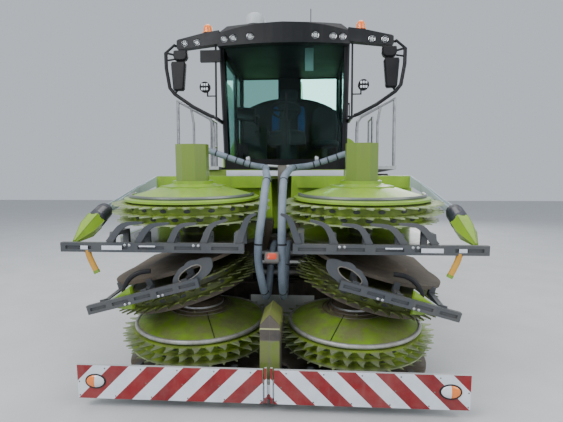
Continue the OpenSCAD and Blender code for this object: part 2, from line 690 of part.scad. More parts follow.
// Spout
duct_top = 2500;
neck_top = 2860;
spout_hinge_y = turret_y + 40;
spout_hinge_z = 3000;
spout_pin_r = 25;
ear_t = 24;
boom_depth = 260;
arch_top = 3950;
arch_z = 1500;
arch_r = arch_top - arch_z;
hinge_rise = spout_hinge_z - arch_z;
hinge_reach = arch_r - boom_depth / 2;
arch_y = spout_hinge_y + sqrt(hinge_reach * hinge_reach - hinge_rise * hinge_rise);
arch_start = 180 - asin(hinge_rise / hinge_reach) + 1;
arch_end = 47;
flap_pin_r = 8;
flap_r = arch_r - 20;
flap_step = 0.45;
flap_y = arch_y + flap_r * cos(arch_end - flap_step);
flap_z = arch_z + flap_r * sin(arch_end - flap_step);
flap_half = spout_w / 2 - spout_t - 6;
module spout_turret() color(GREEN) place() {
    rod_z(turret_r, 0, turret_y, duct_top, duct_top + 120);
    difference() {
        union() {
            along_x(-spout_w / 2, spout_w / 2) polygon([
                [turret_y - 170, duct_top + 100], [turret_y + 170, duct_top + 100],
                [turret_y + 120, neck_top], [turret_y - 150, neck_top]
            ]);
            along_x(-spout_w / 2 - 6 - ear_t, spout_w / 2 + 6 + ear_t) polygon([
                [turret_y - 60, duct_top + 100], [turret_y + 110, duct_top + 100],
                [spout_hinge_y + 50, spout_hinge_z], [spout_hinge_y + 35, spout_hinge_z + 35],
                [spout_hinge_y, spout_hinge_z + 50], [spout_hinge_y - 35, spout_hinge_z + 35],
                [spout_hinge_y - 50, spout_hinge_z]
            ]);
        }
        box(-spout_w / 2 - 6, spout_w / 2 + 6, turret_y - 200, turret_y + 200, neck_top, 3100);
        box(-spout_w / 2 + 20, spout_w / 2 - 20, turret_y - 120, turret_y + 100, duct_top + 130, neck_top + 1);
        rod_x(spout_pin_r + run_gap, -spout_w, spout_w, spout_hinge_y, spout_hinge_z);
    }
}
module arch_sector(r, a0, a1) polygon(concat(
    [[arch_y, arch_z]],
    [for (i = [0:8]) let (a = a0 + (a1 - a0) * i / 8) [arch_y, arch_z] + 1.1 * r * [cos(a), sin(a)]]
));
module arch_disc(r) translate([arch_y, arch_z]) circle(r, $fn = 288);
module spout_boom() color(GREEN) place() {
    difference() {
        along_x(-spout_w / 2, spout_w / 2) difference() {
            intersection() {
                arch_disc(arch_r);
                arch_sector(arch_r, arch_end, arch_start);
            }
            arch_disc(arch_r - boom_depth);
        }
        along_x(-spout_w / 2 + spout_t, spout_w / 2 - spout_t) arch_disc(arch_r - spout_t);
    }
    both() {
        rod_x(spout_pin_r, spout_w / 2 - spout_t, spout_w / 2 + 6 + ear_t, spout_hinge_y, spout_hinge_z);
        // Ears of the end flap
        rod_x(24, spout_w / 2 - spout_t, spout_w / 2, flap_y, flap_z);
    }
    rod_x(flap_pin_r, -spout_w / 2, spout_w / 2, flap_y, flap_z);
}
module spout_flap() color(GREEN) place() translate([0, flap_y, flap_z]) rotate([arch_end - 90, 0, 0])
    difference() {
        union() {
            rod_x(16, -flap_half, flap_half, 0, 0);
            box(-flap_half, flap_half, 0, 430, 0, 6);
            both() along_x(flap_half - 6, flap_half) polygon([[30, 3], [40, -110], [400, -60], [430, 3]]);
        }
        rod_x(flap_pin_r + run_gap, -spout_w, spout_w, 0, 0);
    }

// Header: what stays on the machine's middle
roller_y = -1050;
low_roller_z = 735;
low_roller_r = 105;
top_roller_z = 990;
top_roller_r = 120;
shaft_r = 30;
module intake_housing() color(GREEN) place() difference() {
    union() {
        both() {
            along_x(360, 390) polygon([
                [-1240, 620], [-1240, 1180], [lift_y, 1080], [lift_y + 60, 900], [lift_y, 780], [-700, 600]
            ]);
            rod_x(lift_pin_r, 390, chop_x, lift_y, lift_z);
            rod_x(90, 390, chop_x - chop_t - 5, lift_y, lift_z);
        }
        along_x(-360, 360) polygon([[-1240, 1150], [-1240, 1180], [-560, 1110], [-560, 1080]]);
        along_x(-360, 360) polygon([[-1240, 600], [-1240, 620], [-700, 620], [-700, 600]]);
        // Lugs of the lift cylinders
        both() {
            for (x = [cyl_x - 56, cyl_x + 36]) box(x, x + 20, lug_y - 40, lug_y + 40, lug_z - 60, lug_z + 80);
            box(390, cyl_x + 56, lug_y - 40, lug_y + 40, lug_z + 60, lug_z + 80);
            rod_x(lug_pin_r, cyl_x - 56, cyl_x + 56, lug_y, lug_z);
        }
    }
    for (z = [low_roller_z, top_roller_z]) rod_x(shaft_r + run_gap, -400, 400, roller_y, z);
}
module ribbed_roller(y, z, r) {
    rod_x(r - 12, -350, 350, y, z);
    rod_x(shaft_r, -390, 390, y, z);
    for (i = [0:9]) translate([-350, y, z]) rotate([i * 36, 0, 0])
        translate([0, -6, 0]) cube([700, 12, r]);
}
module feed_roller_upper() color(SILVER) place() ribbed_roller(roller_y, top_roller_z, top_roller_r);
module feed_roller_lower() color(SILVER) place() ribbed_roller(roller_y, low_roller_z, low_roller_r);

module knuckles(x, z, r, list) for (k = list) rod_y(r, x, k[0], k[1], z);
hinge_out = [[-1470, -1430], [-1330, -1290]];
hinge_in = [[-1425, -1335]];
// The folded wing's hinge plate stands clear of both
hinge_root = hinge_a_x - 94;
beam_end = hinge_a_x - 130;
module disc_pan(cx, r, inner) {
    translate([cx, -disc_y, pan_z]) cylinder(r = r - 60, h = pan_t, $fn = 144);
    box(cx - inner, cx + r - 90, -disc_y, wall_y, pan_z, pan_z + pan_t);
    rod_z(axle_r + 40, cx, -disc_y, pan_z, rotor_base - 0.3);
}
module header_frame() {
    color(GREY) header() {
        both() {
            disc_pan(centre_x, rotor_r, rotor_r - 90);
            rod_z(axle_r, centre_x, -disc_y, pan_z, cover_top - sheet_t);
            box(380, centre_x + rotor_r - 90, wall_y, wall_y + wall_th, pan_z, 620);
            box(beam_end - 20, hinge_root, -1470, -1280, hinge_a_z - 60, hinge_a_z + 60);
            for (k = hinge_out) {
                box(hinge_root - 6, hinge_a_x, k[0], k[1], hinge_a_z - 60, hinge_a_z + 60);
                rod_y(60, hinge_a_x, k[0], k[1], hinge_a_z);
            }
            rod_y(hinge_pin_r, hinge_a_x, -1470, -1290, hinge_a_z);
            box(-beam_end, beam_end, wall_y, -1280, 480, 620);
            box(380, 440, wall_y, -1280, pan_z, 620);
        }
        // Peaked nose between the two inner rotors
        intersection() {
            along_x(-80, 80) polygon([
                [-2950, 130], [-2950, 420], [-2915, 820], [-2560, 820], [-2460, 640],
                [-2300, 560], [-2300, 500], [-2700, 480], [-2700, 130]
            ]);
            along_y(-2951, -2299) polygon([[-80, 129], [-80, 725], [0, 812], [80, 725], [80, 129]]);
        }
        both() for (v = [-2880, -2660]) rod_x(14, 79, 88, v, 660, $fn = 12);
        box(-60, 60, -2700, wall_y, pan_z, pan_z + pan_t);
        box(-110, 110, -2400, wall_y, pan_z, pan_z + pan_t);
    }
    color(GREY) place() difference() {
        union() {
            box(-470, 470, -1310, -1240, 560, 1200);
            // Stiffening ribs of the head plate
            both() for (x = [395, 440]) box(x - 6, x + 6, -1330, -1309, 700, 1060);
        }
        box(-350, 350, -1341, -1239, 680, 1080);
    }
}
module cone_cover(cx, r, top_r, z0, z1) translate([cx, -disc_y, 0]) rotate_extrude() polygon([
    [0, z1 - sheet_t], [top_r, z1 - sheet_t], [r - sheet_t, z0 - 4], [r - sheet_t, z0 - 14],
    [r, z0 - 14], [r, z0 + 6], [top_r, z1], [0, z1]
]);
rim_tube_r = 20;
module centre_covers() color(GREEN) header() both() {
    cone_cover(centre_x, cover_r, cap_r, cover_z, cover_top);
    // Round tube along the cover's rim
    translate([centre_x, -disc_y, cover_z]) rotate_extrude($fn = 72)
        translate([cover_r - 6, 0]) circle(rim_tube_r, $fn = 12);
    rod_z(cap_r, centre_x, -disc_y, cover_top, 672);
    translate([centre_x, -disc_y, 672]) cylinder(r1 = cap_r - 8, r2 = cap_r - 60, h = 26);
    for (a = [30:60:330]) translate([centre_x, -disc_y, 0]) rotate([0, 0, a])
        rod_z(13, cap_r + 40, 0, cover_top - 30, cover_top + 4, $fn = 12);
}
module guard(x0, x1, z0, z1) difference() {
    box(x0, x1, guard_y, guard_y + guard_t, z0, z1);
    for (i = [0:4]) let (w = (x1 - x0) / 5)
        box(x0 + (i + 0.14) * w, x0 + (i + 0.86) * w, guard_y - 1, guard_y + 12, z0 + 24, z1 - 24);
}
// Flat arm from the bar over the gap to the edge of the pan
module guard_arm(x, cx, r, z_bar, z_high) {
    y0 = guard_y + guard_t - 2;
    y1 = -disc_y - sqrt(r * r - (x - cx) * (x - cx)) + 30;
    along_x(x - 25, x + 25) polygon([
        [y0, z_bar - 50], [y0, z_bar], [y0 + 34, z_high], [y1 - 6, z_high - 14], [y1, pan_z + 12],
        [y1 - 44, pan_z + 6], [y1 - 44, z_high - 44], [y0 + 46, z_high - 34], [y0 + 14, z_bar - 50]
    ]);
}
module pan_cut(cx, r) translate([cx, -disc_y, pan_z - 1]) cylinder(r = r - 60, h = pan_t + 2, $fn = 144);
module centre_guard() color(GREY) header() both() difference() {
    union() {
        guard(110, 1500, 130, 205);
        for (x = [330, 620, 900, 1180]) guard_arm(x, centre_x, rotor_r - 60, 203, 280);
    }
    pan_cut(centre_x, rotor_r);
}
board_z = 135;
board_front = -disc_y + (disc_y - front_overhang + (board_z + board_h - tilt_z) * sin(tilt)) / cos(tilt);
board_back = board_front + 25;
module warning_boards() color("white") header() {
    both() box(45, 1550, board_front, board_back, board_z, board_z + board_h);
    both() box(14, 32, board_front + 8, board_back + 1, board_z, board_z + board_h + 10);
    box(-75, 75, board_back, -2950.3, 160, 280);
    both() box(60, 1500, board_back, -2990, 230, 290);
}
carrier_y = -1325;
module hose_carrier() color(SILVER) place() {
    box(-50, 50, carrier_y - 20, carrier_y + 63, 1200, 2040);
    box(-70, 70, -1300, -1236, 1200, 1216);
    both() {
        // Round rods that carry the hoses outwards behind the towers
        strut([0, carrier_y, 2024], [382, carrier_y, 2048], 16);
        bend_ball([382, carrier_y, 2048], 16);
        strut([382, carrier_y, 2048], [930, carrier_y, 2236], 16);
        bend_ball([930, carrier_y, 2236], 19);
        // Coupling at the end of the hose and its strap on the rod
        rod_x(31, 380, 420, carrier_y, 2110);
        rod_x(38, 386, 400, carrier_y, 2110);
        box(402, 416, carrier_y - 14, carrier_y + 14, 2050, 2110);
    }
    box(-130, 130, -1420, -1310, 1080, 1200);
}
hose_points = [
    [380, -1325, 2110], [300, -1330, 2108], [225, -1348, 2103], [160, -1390, 2094], [115, -1457, 2082],
    [92, -1542, 2068], [82, -1645, 2050], [80, -1800, 2022], [90, -1980, 1985], [85, -2150, 1945],
    [80, -2310, 1880], [80, -2450, 1790], [80, -2560, 1680], [80, -2630, 1550], [80, -2660, 1410],
    [80, -2665, 1270], [80, -2650, 1130], [80, -2610, 1000], [80, -2540, 885], [80, -2440, 800],
    [80, -2320, 757], [80, -2200, 768], [80, -2090, 830], [80, -1990, 915], [80, -1890, 1000],
    [80, -1780, 1070], [80, -1660, 1115], [80, -1540, 1135], [80, -1420, 1140]
];
hose_sides = 10;
function hose_tangent(i) = let (
    a = hose_points[max(i - 1, 0)],
    b = hose_points[min(i + 1, len(hose_points) - 1)],
    d = b - a
) d / norm(d);
function hose_frame(i, n) = i == 0 ? n : let (
    m = hose_frame(i - 1, n),
    t = hose_tangent(i),
    p = m - (m * t) * t
) p / norm(p);
module hose(s) color("lightsteelblue") place() side(s) {
    n = len(hose_points);
    rings = [for (i = [0:n - 1]) let (
        t = i == 0 ? [-1, 0, 0] : i == n - 1 ? [0, 1, 0] : hose_tangent(i),
        u = let (m = hose_frame(i, [0, 0, 1]), p = m - (m * t) * t) p / norm(p),
        v = cross(t, u)
    ) for (k = [0:hose_sides - 1]) let (a = k * 360 / hose_sides)
        hose_points[i] + hose_d / 2 * (cos(a) * u + sin(a) * v)];
    faces = concat(
        [[for (k = [0:hose_sides - 1]) k]],
        [[for (k = [0:hose_sides - 1]) n * hose_sides - 1 - k]],
        [for (i = [0:n - 2], k = [0:hose_sides - 1]) let (
            a = i * hose_sides, b = a + hose_sides, j = (k + 1) % hose_sides
        ) [a + k, b + k, b + j, a + j]]
    );
    polyhedron(rings, faces);
}

// Lift cylinders
barrel_pin_y = -250;
barrel_pin_z = 500;
lug_y = -1150;
lug_z = 620;
cyl_x = 480;
cyl_pin_r = 25;
lug_pin_r = 18;
eye_r = 42;
cyl_a = atan2(lug_z - barrel_pin_z, barrel_pin_y - lug_y);
cyl_len = norm([lug_y - barrel_pin_y, lug_z - barrel_pin_z]);
module cylinder_place() place() both() translate([cyl_x, barrel_pin_y, barrel_pin_z])
    rotate([90 - cyl_a, 0, 0]) children();
module lift_barrels() color(GREY) cylinder_place() difference() {
    union() {
        rod_x(38, -25, 25, 0, 0);
        rod_z(22, 0, 0, 20, 70);
        rod_z(50, 0, 0, 60, 600);
    }
    rod_z(30 + run_gap, 0, 0, 80, 601);
    rod_x(cyl_pin_r + run_gap, -30, 30, 0, 0);
}
module lift_rods() color(SILVER) cylinder_place() difference() {
    union() {
        rod_z(30, 0, 0, 200, cyl_len - 34);
        translate([-24, 0, cyl_len]) rotate([0, 90, 0]) cylinder(r = eye_r, h = 48);
    }
    translate([-25, 0, cyl_len]) rotate([0, 90, 0]) cylinder(r = eye_r - 12, h = 50);
}

// Rotors
module toothed_ring(r, hole) difference() {
    polygon([for (i = [0:teeth - 1], p = [[-0.36, 105], [-0.10, 30], [0.06, 0], [0.12, 45], [0.36, 105]])
        let (a = (i + p[0]) * 360 / teeth) (r - p[1]) * [cos(a), sin(a)]]);
    circle(hole, $fn = 72);
}
module rotor(cx, r, drop) translate([cx, -disc_y, 0]) {
    drum_r = r - drum_step;
    rotate_extrude($fn = 72) polygon([
        [axle_r + run_gap, rotor_base], [axle_r + 45, rotor_base], [axle_r + 45, knife_z - drop - 6],
        [r - 70, knife_z - drop - 6], [r - 70, knife_z - drop + 6], [drum_r, knife_z - drop + 6],
        [drum_r, row_high - drop + 12], [drum_r - 16, row_high - drop + 12],
        [drum_r - 16, knife_z - drop + 6], [axle_r + 45, knife_z - drop + 6],
        [axle_r + 45, row_high - drop + 20], [axle_r + run_gap, row_high - drop + 20]
    ]);
    for (z = [row_low, row_high]) translate([0, 0, z - drop - 6]) linear_extrude(12)
        toothed_ring(r, drum_r - 16);
    translate([0, 0, knife_z - drop - 14]) linear_extrude(9) toothed_ring(r - 40, r - 180);
}
module centre_rotor(s) color(SILVER) header() side(s) rotor(centre_x, rotor_r, 0);
module mid_rotor(s) color(SILVER) fold_mid(s) rotor(mid_x, mid_rotor_r, mid_drop);
module outer_rotor(s) color(SILVER) fold_end(s) rotor(end_x, end_rotor_r, 0);

// Folding sections
module mid_section(s) color(GREY) fold_mid(s) difference() {
    union() {
        disc_pan(mid_x, mid_rotor_r, mid_rotor_r - 90);
        rod_z(axle_r, mid_x, -disc_y, pan_z, 450);
        cone_cover(mid_x, 560, 560, 430, 456);
        // Shallow skid dish under the pan
        translate([mid_x, -disc_y, 0]) rotate_extrude($fn = 72) polygon([
            [0, pan_z - 58], [130, pan_z - 54], [230, pan_z - 38], [300, pan_z - 16], [330, pan_z + 1], [0, pan_z + 1]
        ]);
        box(mid_x - mid_rotor_r + 90, mid_x + mid_rotor_r - 90, wall_y, wall_y + wall_th, pan_z, 380);
        box(1600, 2980, -1450, -1350, 200, 380);
        along_y(hinge_in[0][0], hinge_in[0][1]) polygon([
            [hinge_a_x - 50, hinge_a_z - 30], [1600, 200], [1720, 200], [1720, 380], [hinge_a_x + 50, hinge_a_z + 30]
        ]);
        knuckles(hinge_a_x, hinge_a_z, 60, hinge_in);
        for (k = hinge_out) {
            along_y(k[0], k[1]) polygon([
                [2900, 380], [2860, 200], [hinge_b_x - 20, hinge_b_z - 45], [hinge_b_x + 45, hinge_b_z + 20], [2980, 380]
            ]);
            rod_y(50, hinge_b_x, k[0], k[1], hinge_b_z);
        }
        rod_y(hinge_pin_r, hinge_b_x, -1470, -1290, hinge_b_z);
    }
    rod_y(hinge_pin_r + run_gap, hinge_a_x, -1426, -1334, hinge_a_z);
}
module mid_guard(s) color(GREY) fold_mid(s) {
    difference() {
        union() {
            guard(1670, 2620, 185, 260);
            for (x = [1800, 2150, 2500]) guard_arm(x, mid_x, mid_rotor_r - 60, 222, 225);
        }
        pan_cut(mid_x, mid_rotor_r);
    }
}
module slab(x, y, z0, z1) translate([x - 4, y - 4, z0]) cube([8, 8, z1 - z0]);
module outer_section(s) color(GREEN) fold_end(s) difference() {
    union() {
        disc_pan(end_x, end_rotor_r, end_x - hinge_b_x - 80);
        rod_z(axle_r, end_x, -disc_y, pan_z, 625);
        cone_cover(end_x, end_cover_r, collar_r, cover_z, 630);
        rod_z(collar_r, end_x, -disc_y, 630, 657);
        // Raised eight-sided plate, collar and tower
        translate([end_x, -disc_y, 570]) rotate([0, 0, 22.5]) cylinder(r = 310, h = 40, $fn = 8);
        translate([end_x, -disc_y, 656]) rotate([0, 0, 22.5]) cylinder(r = tower_r, h = 344, $fn = 8);
        translate([end_x, -disc_y, 528]) rotate([0, 0, 180]) rotate_extrude(angle = 180, $fn = 72)
            translate([575, 0]) circle(16, $fn = 12);
        box(hinge_b_x + 80, end_x + end_rotor_r - 90, wall_y, wall_y + wall_th, pan_z, 640);
        box(3120, 4370, -1460, -1340, 540, 670);
        along_y(hinge_in[0][0], hinge_in[0][1]) polygon([
            [hinge_b_x - 45, hinge_b_z], [hinge_b_x + 45, hinge_b_z], [3200, 540], [3200, 670], [3060, 670]
        ]);
        knuckles(hinge_b_x, hinge_b_z, 50, hinge_in);
        // Divider at the end of the header: sheet band, rubber collar and faceted point
        hull() {
            slab(4366, -1456, 560, 668);
            slab(4455, -1825, 478, 552);
        }
        hull() {
            slab(4455, -1825, 478, 552);
            slab(4530, -2330, 345, 402);
        }
        hull() {
            slab(4530, -2330, 345, 402);
            translate([4531, -2430, 362]) sphere(30, $fn = 16);
        }
        strut([4531, -2405, 371], [4535, -2545, 318], 74);
        hull() {
            translate([4535, -2540, 320]) sphere(70, $fn = 8);
            translate([4532, -2700, 262]) scale([0.8, 1, 0.95]) sphere(62, $fn = 8);
            translate([4530, -2895, 199]) sphere(12, $fn = 8);
        }
    }
    rod_y(hinge_pin_r + run_gap, hinge_b_x, -1426, -1334, hinge_b_z);
}
module outer_guard(s) color(GREY) fold_end(s) {
    difference() {
        union() {
            guard(3130, 4600, 130, 205);
            for (x = [3190, 3440, 3700, 3960, 4200]) guard_arm(x, end_x, end_rotor_r - 60, 203, 280);
            // Yellow feeler hanging from the bar
            strut([4405, guard_y + 20, 140], [4345, guard_y + 20, 16], 13);
        }
        pan_cut(end_x, end_rotor_r);
    }
}

chassis_frame();
front_axle();
rear_axle();
engine_block();
body_panels();
engine_hood();
air_grilles();
cab_platforms();
rails_and_ladder();
cab_shell();
cab_roof();
cab_glass();
cab_interior();
lamps();
beacons();
mirrors();
roof_receiver();
exhaust_pipe();
cab_door();
door_glass();
front_tyre(1);  // tyre_front_left
front_tyre(-1);  // tyre_front_right
rear_tyre(1);  // tyre_rear_left
rear_tyre(-1);  // tyre_rear_right
front_rim(1);  // rim_front_left
front_rim(-1);  // rim_front_right
rear_rim(1);  // rim_rear_left
rear_rim(-1);  // rim_rear_right
knuckle(1);  // knuckle_left
knuckle(-1);  // knuckle_right
spout_turret();
spout_boom();
spout_flap();
intake_housing();
header_frame();
centre_covers();
centre_guard();
hose_carrier();
hose(1);  // hose_left
hose(-1);  // hose_right
warning_boards();
feed_roller_upper();
feed_roller_lower();
lift_barrels();
lift_rods();
centre_rotor(1);  // centre_rotor_left
centre_rotor(-1);  // centre_rotor_right
mid_section(1);  // mid_section_left
mid_section(-1);  // mid_section_right
mid_guard(1);  // mid_guard_left
mid_guard(-1);  // mid_guard_right
mid_rotor(1);  // mid_rotor_left
mid_rotor(-1);  // mid_rotor_right
outer_section(1);  // outer_section_left
outer_section(-1);  // outer_section_right
outer_guard(1);  // outer_guard_left
outer_guard(-1);  // outer_guard_right
outer_rotor(1);  // outer_rotor_left
outer_rotor(-1);  // outer_rotor_right
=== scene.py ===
"""Looks of a folded forage harvester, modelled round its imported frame.

The frame's parts keep their places. This script gives them their finishes and adds the pieces that are
fitted last: hoses, lenses, seats, a wiper, rivets, reflectors, fingers, points and small hardware.
Lengths are metres, the machine drives towards -Y, its left side is +X and the ground is z = 0.
"""

from __future__ import annotations

import json
import logging
import math
from collections.abc import Callable
from dataclasses import dataclass, replace
from enum import Enum
from functools import partial

import bmesh
import bpy
import numpy as np
from mathutils import Matrix

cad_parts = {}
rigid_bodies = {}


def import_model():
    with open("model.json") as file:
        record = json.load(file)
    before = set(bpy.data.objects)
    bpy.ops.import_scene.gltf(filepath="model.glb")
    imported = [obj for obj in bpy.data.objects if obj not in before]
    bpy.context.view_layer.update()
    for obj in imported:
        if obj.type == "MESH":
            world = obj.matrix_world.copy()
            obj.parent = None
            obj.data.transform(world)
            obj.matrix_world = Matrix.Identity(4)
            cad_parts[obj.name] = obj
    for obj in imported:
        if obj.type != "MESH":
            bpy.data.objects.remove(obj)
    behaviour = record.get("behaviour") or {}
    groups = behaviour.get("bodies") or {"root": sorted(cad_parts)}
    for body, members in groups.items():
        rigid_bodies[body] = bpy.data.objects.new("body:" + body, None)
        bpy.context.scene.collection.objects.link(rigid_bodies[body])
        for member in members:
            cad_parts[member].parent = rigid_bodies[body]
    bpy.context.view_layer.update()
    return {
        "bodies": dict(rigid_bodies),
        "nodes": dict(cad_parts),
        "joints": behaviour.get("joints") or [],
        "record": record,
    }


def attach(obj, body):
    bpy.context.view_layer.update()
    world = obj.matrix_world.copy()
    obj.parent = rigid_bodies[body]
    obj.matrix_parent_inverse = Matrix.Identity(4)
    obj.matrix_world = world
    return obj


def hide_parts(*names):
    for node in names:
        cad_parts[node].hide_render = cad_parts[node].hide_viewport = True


Array = np.ndarray
Colour = tuple[float, float, float]
Point = tuple[float, float, float]
Flat = tuple[float, float]
Socket = bpy.types.NodeSocket
Material = bpy.types.Material
Inputs = dict[str | int, object]
Kinds = dict[str, str]

PHOTO_WIDTH = 563
FOCAL_PIXELS = 420.0
SENSOR_WIDTH = 36.0
FRONT_AXLE_Y = -1.05
SMOOTH_ANGLE = math.radians(35.0)
MERGE_DISTANCE = 1e-5
SHORTEST_EDGE = 1e-6
POLE = 0.0002
POLE_GAP = 0.02

log = logging.getLogger("harvester")


class Side(Enum):
    """The two sides of the machine, with the sign of x."""

    LEFT = 1
    RIGHT = -1

    @property
    def word(self) -> str:
        """The side's word in the names of nodes and bodies."""
        return self.name.lower()


# Surfaces as whole arrays


@dataclass
class Shape:
    """A surface of quads and triangles with a UV pair at each corner.

    Attributes:
        points: Corner places, one row each.
        quads: Indices of four corners to a face.
        tris: Indices of three corners to a face.
        quad_uv: UV pairs of the quads' corners.
        tri_uv: UV pairs of the triangles' corners.
    """

    points: Array
    quads: Array
    tris: Array
    quad_uv: Array
    tri_uv: Array

    def moved(self, matrix: Array) -> Shape:
        """Returns a copy carried by a 4 by 4 matrix."""
        points = self.points @ matrix[:3, :3].T + matrix[:3, 3]
        return Shape(points, self.quads, self.tris, self.quad_uv, self.tri_uv)

    def repeated(self, places: Array) -> Shape:
        """Copies the shape to many places.

        Args:
            places: Matrices, shaped (count, 4, 4).

        Returns:
            One shape that holds every copy, each point being matrix times point.
        """
        count, size = len(places), len(self.points)
        points = np.einsum("kij,nj->kni", places[:, :3, :3], self.points) + places[:, None, :3, 3]
        shift = (np.arange(count) * size)[:, None, None]
        return Shape(
            points.reshape(-1, 3),
            (self.quads[None] + shift).reshape(-1, 4),
            (self.tris[None] + shift).reshape(-1, 3),
            np.tile(self.quad_uv, (count, 1, 1)),
            np.tile(self.tri_uv, (count, 1, 1)),
        )

    def mirrored(self) -> Shape:
        """Returns the shape with its mirror image across x = 0; normals are set right when it is built."""
        flip = np.diag([-1.0, 1.0, 1.0, 1.0])
        return joined([self, self.moved(flip)])


def joined(shapes: list[Shape]) -> Shape:
    """Joins shapes into one by stacking their arrays."""
    starts = np.cumsum([0] + [len(s.points) for s in shapes[:-1]])
    return Shape(
        np.concatenate([s.points for s in shapes]),
        np.concatenate([s.quads + n for s, n in zip(shapes, starts)]),
        np.concatenate([s.tris + n for s, n in zip(shapes, starts)]),
        np.concatenate([s.quad_uv for s in shapes]),
        np.concatenate([s.tri_uv for s in shapes]),
    )


def grid_shape(points: Array, ring: bool = False) -> Shape:
    """Makes the surface of a grid of points, rows by columns. The last column joins the first.

    Args:
        points: Places, shaped (rows, columns, 3).
        ring: Whether the last row joins the first; if not, a fan to its mean closes each end row.

    Returns:
        The surface, with UV running 0 to 1 along the rows and along the columns.
    """
    rows, columns = points.shape[:2]
    spans = rows if ring else rows - 1
    i, j = (k.ravel() for k in np.meshgrid(np.arange(spans), np.arange(columns), indexing="ij"))
    corners = ((i, j), (i, j + 1), (i + 1, j + 1), (i + 1, j))
    quads = np.stack([(a % rows) * columns + b % columns for a, b in corners], axis=1)
    scale = np.array([spans, columns], float)
    quad_uv = np.stack([np.stack([a, b], axis=1) / scale for a, b in corners], axis=1)
    flat = points.reshape(-1, 3)
    tris, tri_uv = np.zeros((0, 3), int), np.zeros((0, 3, 2))
    if not ring:
        steps = np.arange(columns)
        fans = []
        for row, centre in ((0, len(flat)), (rows - 1, len(flat) + 1)):
            edge = row * columns + np.stack([steps, (steps + 1) % columns], axis=1)
            fans.append(np.column_stack([np.full(len(steps), centre), edge]))
        tris = np.concatenate(fans)
        tri_uv = np.zeros((len(tris), 3, 2))
        flat = np.concatenate([flat, points[0].mean(0)[None], points[-1].mean(0)[None]])
    return Shape(flat, quads, tris, quad_uv, tri_uv)


def lathe(profile: list[Flat], segments: int = 48) -> Shape:
    """Turns a profile of radius and height about Z: (r cos a, r sin a, h) over a full turn."""
    radius, height = np.array(profile, float).T
    angle = np.arange(segments) * 2 * math.pi / segments
    points = np.stack(
        [
            radius[:, None] * np.cos(angle),
            radius[:, None] * np.sin(angle),
            np.broadcast_to(height[:, None], (len(radius), segments)),
        ],
        axis=2,
    )
    return grid_shape(points)


def block(size: Point, radius: float, steps: int = 4) -> Shape:
    """Makes a box with round edges, centred on the origin.

    Each point is a corner of the inner box plus the radius times a direction that turns through that
    corner's octant.

    Args:
        size: Lengths along x, y and z.
        radius: Radius of the edges.
        steps: Points through a quarter turn.

    Returns:
        The closed surface.
    """
    half = np.array(size, float) / 2 - radius
    turn = np.linspace(0, math.pi / 2, steps)
    around = np.concatenate([turn + k * math.pi / 2 for k in range(4)])
    sign_x = np.repeat([1, -1, -1, 1], steps)
    sign_y = np.repeat([1, 1, -1, -1], steps)
    lift = np.concatenate([turn - math.pi / 2, turn])
    sign_z = np.repeat([-1, 1], steps)
    points = np.stack(
        [
            sign_x * half[0] + radius * np.cos(lift)[:, None] * np.cos(around),
            sign_y * half[1] + radius * np.cos(lift)[:, None] * np.sin(around),
            np.broadcast_to((sign_z * half[2] + radius * np.sin(lift))[:, None], (2 * steps, 4 * steps)),
        ],
        axis=2,
    )
    return grid_shape(points)


def cushion(size: Point, power: float = 3.2, crown: float = 0.12, steps: int = 36) -> Shape:
    """Makes a crowned pad, a superellipsoid whose middle swells.

    A point is half the size times the signed powers of a sphere's cosines and sines, and its height
    grows by the crown times one minus the squared distance from the middle.

    Args:
        size: Lengths along x, y and z.
        power: How square the outline is; 2 is an ellipse.
        crown: Swelling as a share of the height.
        steps: Points along a half turn.

    Returns:
        The closed surface.
    """
    def shaped(value: Array, exponent: float) -> Array:
        """Raises a value's size to a power and keeps its sign."""
        return np.sign(value) * np.abs(value) ** exponent

    lift = np.linspace(POLE_GAP - math.pi / 2, math.pi / 2 - POLE_GAP, steps)[:, None]
    around = np.linspace(0, 2 * math.pi, 2 * steps, endpoint=False)[None, :]
    side = 2.0 / power
    x = shaped(np.cos(lift), side) * shaped(np.cos(around), side)
    y = shaped(np.cos(lift), side) * shaped(np.sin(around), side)
    z = shaped(np.sin(lift), 0.75) * np.ones_like(around)
    swell = 1 + crown * np.clip(1 - x * x, 0, 1) * np.clip(1 - y * y, 0, 1)
    half = np.array(size) / 2
    return grid_shape(np.stack([x * half[0], y * half[1], z * swell * half[2]], axis=2))


def smooth_path(points: list[Point] | Array, steps: int = 6) -> Array:
    """Runs a Catmull-Rom curve through points, with a number of steps between each two."""
    p = np.array(points, float)
    p = np.concatenate([[2 * p[0] - p[1]], p, [2 * p[-1] - p[-2]]])
    t = (np.arange(steps) / steps)[None, :, None]
    a, b, c, d = (p[k : len(p) - 3 + k, None, :] for k in range(4))
    curve = 0.5 * (2 * b + (c - a) * t + (2 * a - 5 * b + 4 * c - d) * t**2 + (3 * b - a - 3 * c + d) * t**3)
    return np.concatenate([curve.reshape(-1, 3), p[-2:-1]])


def path_frames(path: Array, ring: bool = False) -> tuple[Array, Array]:
    """Carries a pair of directions along a path without twist.

    Each ring's first direction is the one before it with its part along the path taken out.

    Args:
        path: Places along the path.
        ring: Whether the path closes on itself.

    Returns:
        Two arrays of unit directions across the path.
    """
    if ring:
        along = np.roll(path, -1, axis=0) - np.roll(path, 1, axis=0)
    else:
        along = np.gradient(path, axis=0)
    along = along / np.linalg.norm(along, axis=1)[:, None]
    start = np.eye(3)[np.argmin(np.abs(along[0]))]
    firsts = []
    for direction in along:
        start = start - direction * (start @ direction)
        start = start / np.linalg.norm(start)
        firsts.append(start)
    first = np.array(firsts)
    return first, np.cross(along, first)


